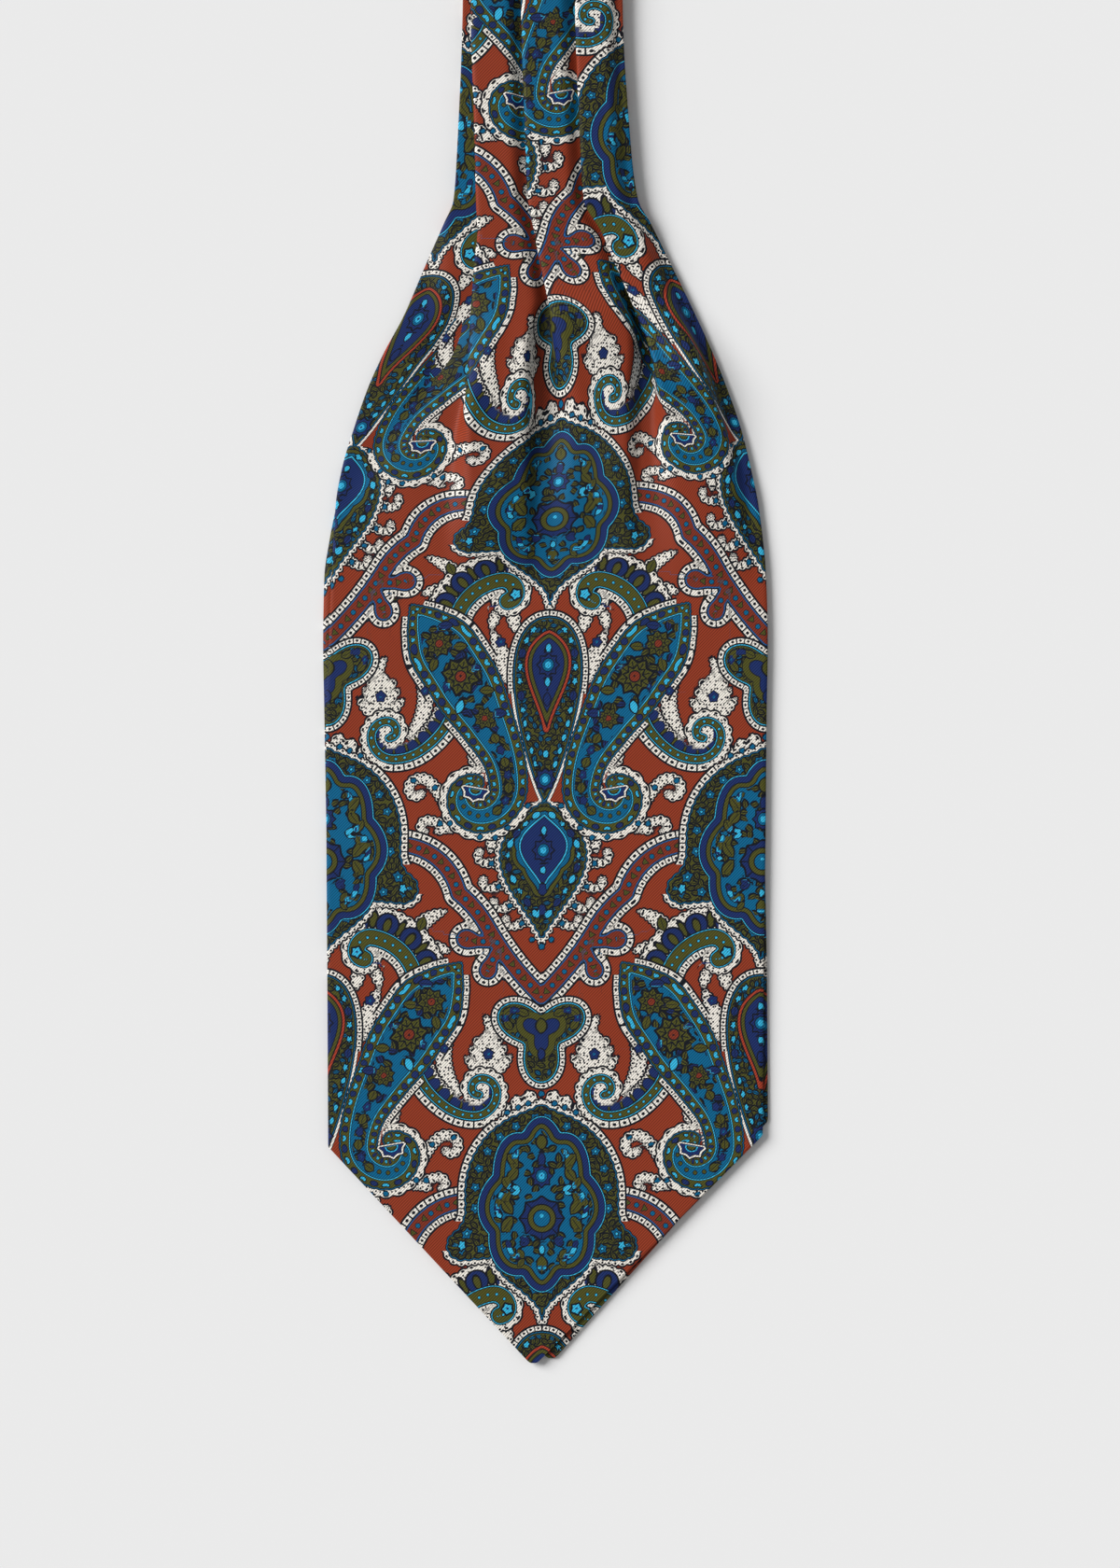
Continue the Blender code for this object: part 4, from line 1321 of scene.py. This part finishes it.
# %% Flames and lattice
def paint_flames(brush):
    """Ivory flames: the scalloped edge of their strokes, and thin commas further in."""
    past, run, _ = mark(brush.tree, "spray")
    brush.scallops(past, run, pitch=1.9, depth=0.5)


def paint_lattice(brush):
    """The ogee lattice: a deep rust band with dots and wedges, a blue line, a row of tiles each side."""
    past, run, side = mark(brush.tree, "lattice")
    brush.tiles(past, run, inner=0.7, outer=3.2, pitch=3.1)
    brush.coats(past, INK, 0.75, BAND_BLUE, 0.5, INK, 0.1, DEEP_RUST, 0.0)
    brush.coats(run.repeat(6.4).long(side), INK, 1.02, TEAL, 0.78)
    wedge_run = (run + 3.2).repeat(6.4)
    wedge = abs(side) + wedge_run * 0.6
    brush.coats(wedge, INK, 0.95, within=abs(wedge_run) < 1.0)
    brush.coats(wedge, OLIVE, 0.66, within=abs(wedge_run) < 0.75)


# %% Scrolls with petals
BROAD_FROM = 2.25        # half width of the broad scrolls
TILES_END = 30.0         # runs in mm along a scroll
BROAD_PETALS_END, NARROW_PETALS_END = 24.0, 44.0


def paint_scrolls(brush):
    """Scrolls: an olive band with sky dots, tiles on one side, petals before ivory on the other.

    A petal is an ellipse in its share of the run and in its height; broad scrolls have bigger ones."""
    past, run, side = mark(brush.tree, "scroll")
    broad = abs(side) - past > BROAD_FROM
    narrow = broad.no()
    petal_side = side > 0.0
    tile_side = petal_side.no()
    reach = broad * 4.2 + 4.2 - (broad & (run > BROAD_PETALS_END)) * 6.2
    brush.scallops(past - reach, run, pitch=2.2, depth=0.6, within=petal_side)
    brush.scallops(past - 2.2, run, pitch=2.4, depth=0.8, within=tile_side & narrow & (run > TILES_END))
    brush.tiles(past, run, inner=0.3, outer=3.0, pitch=3.1, within=tile_side & (broad | (run < TILES_END)))
    pitch = broad * 1.9 + 5.6
    high = past / (broad * 3.0 + 3.8)
    place = run.mod(pitch) / pitch * 2.0 - 1.0
    petals_end = narrow * (NARROW_PETALS_END - BROAD_PETALS_END) + BROAD_PETALS_END
    here = petal_side & (past > 0.0) & (run < petals_end)
    leaf = ((abs(place) - 1.0) * 4.2).long((high - 0.5) * 1.9)
    brush.coats(leaf, INK, 1.1, OLIVE, 0.72, within=here)
    petal = (place * 1.22).long((high - 0.38) * 1.62)
    brush.coats(petal, INK, 1.07, NAVY, 0.92, within=here)
    heart = (place * 3.6).long((high - 0.36) * 2.7)
    brush.coats(heart, INK, 1.2, OLIVE, 0.86, within=here & broad)
    brush.coats(past, INK, 0.4, SKY, 0.04, INK, -0.22, OLIVE, -0.5)
    brush.coats(run.repeat(3.2).long(side), INK, 0.66, SKY, 0.42, within=past < -0.4)


# %% Botehs
BACK_TILES = (5.0, 32.0)      # runs in mm along the boteh
HOLLOW_TILES = (40.0, 79.0)
CURL_FROM = 78.0
FIELD_END = 80.0


def paint_boteh(brush):
    """The boteh: tiles or ivory round it, an olive border with hearts, a sky line, then a teal field.

    The border is a little broader where the boteh is broad."""
    past, run, side = mark(brush.tree, "boteh")
    half = abs(side) - past
    hollow = side < 0.0
    tile_side = hollow & run.between(*HOLLOW_TILES) | run.between(*BACK_TILES)
    brush.tiles(past, run, inner=0.3, outer=2.5, pitch=2.5, within=tile_side)
    brush.scallops(past - 2.6, run, pitch=2.4, depth=0.7, within=hollow.no() & (run > CURL_FROM))
    brush.coats(past.bowed(run, 2.0, 0.3), INK, 0.36, TEAL, 0.04, INK, -0.22, OLIVE, -0.5)
    inside = past < -0.5
    border = half * 0.1 + 2.3
    row_side = past + border * 0.5
    size = half * 0.055 + 0.36
    bud = (run + 2.9).repeat(5.8).long(row_side) - size * 0.85
    brush.coats(bud, INK, 0.5, NAVY, 0.22, within=inside)
    lobe = abs(run.repeat(5.8)) - size * 0.42
    heart = lobe.long(row_side - lobe * 0.5) - size * 0.62
    brush.coats(heart, INK, 0.36, SKY, 0.06, within=inside)
    inner = past + border
    brush.coats(inner, INK, 0.0, SKY, -0.2, INK, -0.5, TEAL, -0.75)
    leaf, ink, chance = brush.leaves(closer=1.0, long=2.2, wide=1.0)
    field = (inner < -1.2) & (run < FIELD_END)
    olive, navy = field & (chance > 0.6), field & (chance < 0.15)
    brush.lay(OLIVE, olive & leaf)
    brush.lay(NAVY, navy & leaf)
    brush.lay(INK, (olive | navy) & ink)
    dot = run.repeat(3.3).long(side + 0.2)
    brush.coats(dot, INK, 0.9, OLIVE, 0.62, within=(inner < -0.6) & (run > FIELD_END))


# %% Motifs on the mirror line
SPEAR_FROM, STEM_FROM, LEAF_FROM = 20.0, 72.0, 109.8   # y on the mirror line
LEAF_MIDDLE = 127.0


def paint_axis(brush):
    """Spear, leaf and trefoil: tiles or ivory round them, an olive field with leaves, then their hearts."""
    past, run, heart = mark(brush.tree, "axis")
    x, y, _ = mark(brush.tree, "place")
    is_leaf = y > LEAF_FROM
    is_spear = y.between(SPEAR_FROM, LEAF_FROM)
    is_trefoil = y < 0.0
    stem = is_spear & (y > STEM_FROM)
    brush.tiles(past, run, inner=0.3, outer=2.4, pitch=2.4, within=(is_leaf | stem).no())
    brush.coats(past, INK, 1.4, IVORY, 1.15, within=stem)
    brush.scallops(past - 1.5, run, pitch=2.8, depth=1.0, within=is_leaf, commas=False)
    past = past.bowed(run, 2.8, is_leaf * 0.6)
    brush.coats(past, INK, 0.38, TEAL, 0.04)
    brush.coats(past, SKY, 0.04, within=is_trefoil)
    brush.coats(past, INK, -0.26, OLIVE, -0.55)
    leaf, ink, chance = brush.leaves(closer=1.25, long=1.7, wide=0.9)
    field = (past < -0.9) & (heart > 1.4)
    brush.lay(TEAL, field & leaf & (chance > 0.55))
    brush.lay(INK, field & ink)
    wave = heart - abs(((y - LEAF_MIDDLE).turn_of(x) * 4.0).sine()) * 0.8
    brush.coats(wave, INK, 3.4, OLIVE, 3.05, INK, 1.9, TEAL, 1.5, within=is_leaf)
    brush.coats(heart, INK, 0.9, SKY, 0.6, within=is_leaf)
    brush.coats(heart, INK, 1.5, RED, 1.1, INK, 0.3, within=is_spear)
    brush.coats(heart, INK, 2.5, OLIVE, 2.25, within=is_trefoil)
    brush.coats(heart, INK, 0.12, NAVY, -0.16)
    brush.coats(heart, OLIVE, -0.16, INK, -1.2, NAVY, -1.5, within=is_spear)


# %% The medallion
DOME = (-30.0, 6.0)      # y in the cell
WING_FROM = 16.5
DOME_OUT = 17.0          # x from which the dome has tiles


def paint_medallion(brush):
    """The medallion: ivory round it, an olive border with flowers, then sky, navy and olive lines."""
    past, run, lobes = mark(brush.tree, "medallion")
    x, y, _ = mark(brush.tree, "place")
    brush.tiles(past, run, inner=0.4, outer=3.0, pitch=3.1, within=y.between(*DOME) & (x > DOME_OUT))
    brush.scallops(past - 2.0, run, pitch=2.3, depth=0.6, within=(y < 0.0) & (x < DOME_OUT) | (y > WING_FROM))
    bowed = past.bowed(run, 3.2, 0.5)
    brush.coats(bowed, INK, 0.42, TEAL, 0.08, INK, -0.22, OLIVE, -0.52)
    border = (bowed < -0.5) & (lobes > 0.5)
    _, ink, _ = brush.leaves(closer=1.15, long=1.8, wide=0.9)
    brush.lay(INK, border & ink)
    a, b = run.repeat(7.6), past + 3.2
    middle = a.long(b)
    flower = middle + abs((b.turn_of(a) * 2.5).sine()) * 0.55
    brush.coats(flower, INK, 2.1, TEAL, 1.7, within=border)
    brush.coats(middle, INK, 0.7, SKY, 0.42, within=border)
    brush.coats(lobes, INK, 0.62, SKY, 0.3, INK, 0.02, NAVY, -0.22, INK, -2.1, OLIVE, -2.45,
                INK, -3.7, TEAL, -4.05)
    leaf, ink, chance = brush.leaves(closer=1.0, long=1.9, wide=0.9)
    field = (lobes < -4.3) & (chance > 0.6)
    brush.lay(OLIVE, field & leaf)
    brush.lay(INK, field & ink)


# %% Flowers, leaves and dots
def paint_blooms(brush):
    """Flowers by angle and radius, leaves as lenses, dots as rings, each in its own local place."""
    a, b, guard = mark(brush.tree, "bloom")
    kind, size, _ = mark(brush.tree, "kind")
    near = guard < 0.9
    is_kind = [near & (abs(kind - k) < 0.5) for k in KINDS]
    outside = guard / size + 1.0
    radius = a.long(b).most(outside)
    turn = b.turn_of(a)
    eight = abs((turn * 4.0).sine())
    other_eight = abs((turn * 4.0).cosine())
    five = radius + abs((turn * 2.5).sine()) * 0.22
    outer = radius + eight * 0.26
    inner = radius + other_eight * 0.2
    petals = radius + eight * 0.16
    lens = (abs(b) + a * a).most(outside)

    flower = is_kind[OLIVE_FLOWER]
    brush.coats(outer, INK, 1.12, OLIVE, 0.96, within=flower)
    brush.coats(radius, INK, 0.8, within=flower & (other_eight > 0.985))
    brush.coats(inner, INK, 0.7, OLIVE, 0.58, within=flower)
    brush.coats(radius, INK, 0.34, DEEP_RUST, 0.27, INK, 0.1, within=flower)

    flower = is_kind[ROSETTE]
    brush.coats(petals, INK, 1.1, NAVY, 1.0, within=flower)
    brush.coats(petals, INK, 1.0, within=flower & (eight < 0.14))
    brush.coats(radius, INK, 0.68, OLIVE, 0.62, INK, 0.42, TEAL, 0.37, within=flower)
    brush.coats(a.long(b + 0.12), SKY, 0.09, within=flower)

    brush.coats(five, INK, 1.1, SKY, 0.8, within=is_kind[SKY_FLOWER])
    brush.coats(radius, NAVY, 0.24, within=is_kind[SKY_FLOWER])
    brush.coats(five, INK, 1.12, NAVY, 0.94, within=is_kind[NAVY_BUD])
    brush.coats(radius, TEAL, 0.34, INK, 0.14, within=is_kind[NAVY_BUD])
    brush.coats(outer, INK, 1.14, NAVY, 0.98, within=is_kind[TEAL_FLOWER])
    brush.coats(radius, INK, 0.6, TEAL, 0.52, SKY, 0.3, NAVY, 0.14, within=is_kind[TEAL_FLOWER])

    # the lotus is cut off below, each ring a little higher
    for value, limit, colour, low in (
            (petals, 1.1, INK, -0.24), (petals, 1.0, IVORY, -0.18), (petals, 0.88, INK, -0.1),
            (petals, 0.82, NAVY, -0.06), (radius, 0.46, SKY, -0.02), (radius, 0.38, INK, 0.0),
            (radius, 0.3, OLIVE, 0.0)):
        brush.coats(value, colour, limit, within=is_kind[LOTUS] & (a > low))

    leaf = is_kind[OLIVE_LEAF] | is_kind[NAVY_LEAF] | is_kind[SKY_LEAF]
    brush.coats(lens, INK, 1.3, within=leaf)
    brush.coats(lens, OLIVE, 0.94, within=is_kind[OLIVE_LEAF])
    brush.coats(lens, NAVY, 0.94, within=is_kind[NAVY_LEAF])
    brush.coats(lens, SKY, 0.9, within=is_kind[SKY_LEAF])
    brush.lay(INK, (is_kind[OLIVE_LEAF] | is_kind[NAVY_LEAF]) & (abs(b) < 0.08) & (abs(a) < 0.7))
    brush.coats(radius, INK, 1.16, TEAL, 0.86, within=is_kind[TEAL_DOT])


def paisley_group():
    """The whole print as a group with one output, the colour."""
    group, _, end = new_group("paisley_print", {}, ["Colour"], "NodeSocketColor")
    brush = Painter(group, RUST)
    for paint in (paint_flames, paint_lattice, paint_axis, paint_scrolls, paint_boteh, paint_medallion,
                  paint_blooms):
        paint(brush)
    feed(group, end, brush.under)
    return group


PAISLEY = paisley_group()
print("paisley print:", len(PAISLEY.nodes), "nodes")

# %% [markdown]
# ## Silk twill
#
# Silk for cravats is woven as a fine twill whose ribs rise to the right, here three quarters of a
# millimetre apart.  The ink lies on the ribs, and the grooves between them lie in shade.  So one group
# gives a rib height for the bump and a painted shade for the colour, darker in the grooves and a little
# darker all over, from the cloth's own millimetres, so that the ribs follow each fold.

# %% Twill and the silk material
RIB_PITCH = 0.75
RIB_RISE = math.radians(46)
RIB_DEEP = 0.00005       # metres, for the bump
SLOW = 0.05              # cells a millimetre in the slow noise


def twill_group():
    """Ribs: a sine of the distance across them, with a little unevenness from slow noise, and painted groove
    shade.
    """
    group, (across, along), end = new_group(
        "silk_twill", {"Across": 0.0, "Along": 0.0}, ["Height", "Painted shade", "Gloss"])
    slow = group.nodes.new("ShaderNodeTexNoise")
    slow.inputs["Scale"].default_value = SLOW
    slow.inputs["Detail"].default_value = 3.0
    group.links.new(joined(group, across, along), slow.inputs["Vector"])
    uneven = Number(group, slow.outputs[0]) - 0.5
    over = across * math.sin(RIB_RISE) + along * math.cos(RIB_RISE)
    rib = (over * (2 * math.pi / RIB_PITCH) + uneven * 2.0).sine()
    # the shade is painted shade: darker in the grooves between the ribs and a little darker overall, with
    # slow noise as random tone
    feed(group, end, rib, rib * 0.3 + uneven * 0.1 + 0.82, uneven * 0.16 - rib * 0.04 + 0.5)
    return group


def shade_and_bump(tree, shader, colour, shade, height, deep, strength):
    """Joins a colour times a painted shade to a shader, and a height as bump, whose depth is in metres."""
    bump = tree.nodes.new("ShaderNodeBump")
    for value, place in ((mix(tree, 1.0, colour, shade, "MULTIPLY"), shader.inputs["Base Color"]),
                         (strength, bump.inputs["Strength"]), (deep, bump.inputs["Distance"]),
                         (height, bump.inputs["Height"]), (bump.outputs[0], shader.inputs["Normal"])):
        join(tree, value, place)


def silk_material():
    """Printed silk: the print times the twill's painted shade, its ribs as bump, a soft sheen."""
    material, shader = new_material("printed_silk", {"Specular IOR Level": 0.15})
    tree = material.node_tree
    height, shade, gloss = place_group(tree, twill_group(), *mark(tree, "cloth")[:2])
    colour, = place_group(tree, PAISLEY)
    shade_and_bump(tree, shader, colour, shade, height, RIB_DEEP, 0.5)
    join(tree, gloss, shader.inputs["Roughness"])
    return material


SILK = silk_material()
silk_pieces = (front_silk, under_blade_silk, under_band_silk)
for piece in silk_pieces:
    piece.data.materials.append(SILK)
print("silk on", len(silk_pieces), "pieces")

# %% [markdown]
# ## Tacking stitches
#
# A short row of small stitches goes through all layers and holds the pleats.  Each is a thread that
# dips in and out of the silk: a round tube whose middle line is an arc, made whole as one grid.

# %% Stitches
STITCH_FROM, STITCH_TO = -5.4, 7.2
STITCH_COUNT = 5
STITCH_HALF = 0.95
THREAD_RADIUS = 0.14
STITCH_DOWN = 0.4
STITCH_SINK = 0.12       # how deep the ends lie in the silk
STITCH_SLIP = 0.12       # how far one lies from the next, up or down
STITCH_SLANT = 0.1
PLY_PITCH = 0.0004       # metres, of the thread's twist
PLY_DEEP = 0.00004       # metres, for the bump


def face_height(across, down):
    """Height of the silk's face at places across on one row: read off the topmost line there."""
    x, z, _ = pleated_lines(np.array([down]))
    z = (z + under_height(x, np.array([[down]])) + GAP + FRONT_WALL / 2)[0]
    x = x[0]
    low, high = np.minimum(x[:-1], x[1:]), np.maximum(x[:-1], x[1:])
    hit = (across[:, None] >= low) & (across[:, None] <= high)
    t = (across[:, None] - x[:-1]) / np.where(np.diff(x) == 0, 1, np.diff(x))
    return np.where(hit, z[:-1] + t * np.diff(z), 0).max(1) + SILK_WALL / 2


def stitches():
    """Tubes along short arcs: points on a circle about the arc, whose radius shrinks at both ends."""
    along = np.linspace(-1, 1, 13)
    around = np.linspace(0, 2 * np.pi, 9)[:-1]
    radius = THREAD_RADIUS * np.sqrt(np.maximum(1 - along**6, 0.02))
    points, faces = [], []
    for k, x in enumerate(np.linspace(STITCH_FROM + STITCH_HALF, STITCH_TO - STITCH_HALF, STITCH_COUNT)):
        x = x + STITCH_HALF * along
        y = TACK_Y - STITCH_DOWN + STITCH_SLIP * np.sin(k * 2.4) + STITCH_SLANT * along
        z = face_height(x, STITCH_DOWN) + THREAD_RADIUS * 1.1 * (1 - along**4) - STITCH_SINK
        ring = np.stack([x[:, None] + 0 * around, y[:, None] + radius[:, None] * np.cos(around),
                         z[:, None] + radius[:, None] * np.sin(around)], -1)
        index = np.arange(ring[..., 0].size).reshape(ring.shape[:2]) + sum(len(p) for p in points)
        step = np.roll(index, -1, axis=1)
        points.append(ring.reshape(-1, 3))
        faces += np.stack([index[:-1], index[1:], step[1:], step[:-1]], -1).reshape(-1, 4).tolist()
        faces += [index[0].tolist(), index[-1][::-1].tolist()]
    mesh = bpy.data.meshes.new("tacking_stitches")
    mesh.from_pydata((np.concatenate(points) * MM).tolist(), [], faces)
    mesh.shade_smooth()
    return placed("tacking_stitches", mesh)


def thread_material():
    """Rust sewing thread: two plies twisted together, as slanting bands of painted shade and bump."""
    material, shader = new_material("rust_thread", {"Roughness": 0.8})
    tree = material.node_tree
    x, y, _ = parts_of(tree, tree.nodes.new("ShaderNodeTexCoord").outputs["Object"])
    ply = ((x + y) * (2 * math.pi / PLY_PITCH)).sine()
    shade_and_bump(tree, shader, from_screen(172, 84, 56), ply * 0.2 + 0.8, ply, PLY_DEEP, 1.0)
    return material


thread = stitches()
thread.data.materials.append(thread_material())
print("stitches:", STITCH_COUNT)

# %% [markdown]
# ## Each piece on the body
#
# Every piece rides on the one body, and the solid it stands for is hidden.  The front length is one
# long strip, broad at the blade and narrower in the neckband, so its flat area, the area of its outer
# face, is printed as well.


def face_area(piece, faces):
    """The area in square metres of a piece's first faces, which are its outer face."""
    area = np.zeros(len(piece.data.polygons))
    piece.data.polygons.foreach_get("area", area)
    return float(area[:faces].sum())


front_faces = (front_grid.shape[0] - 1) * (front_grid.shape[1] - 1)
print("front face area", round(face_area(front_silk, front_faces), 4), "m2")

for piece, node in ((front_silk, "front_length"), (under_blade_silk, "under_blade"),
                    (under_band_silk, "under_band")):
    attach(piece, "root")
    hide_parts(node)
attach(thread, "root")
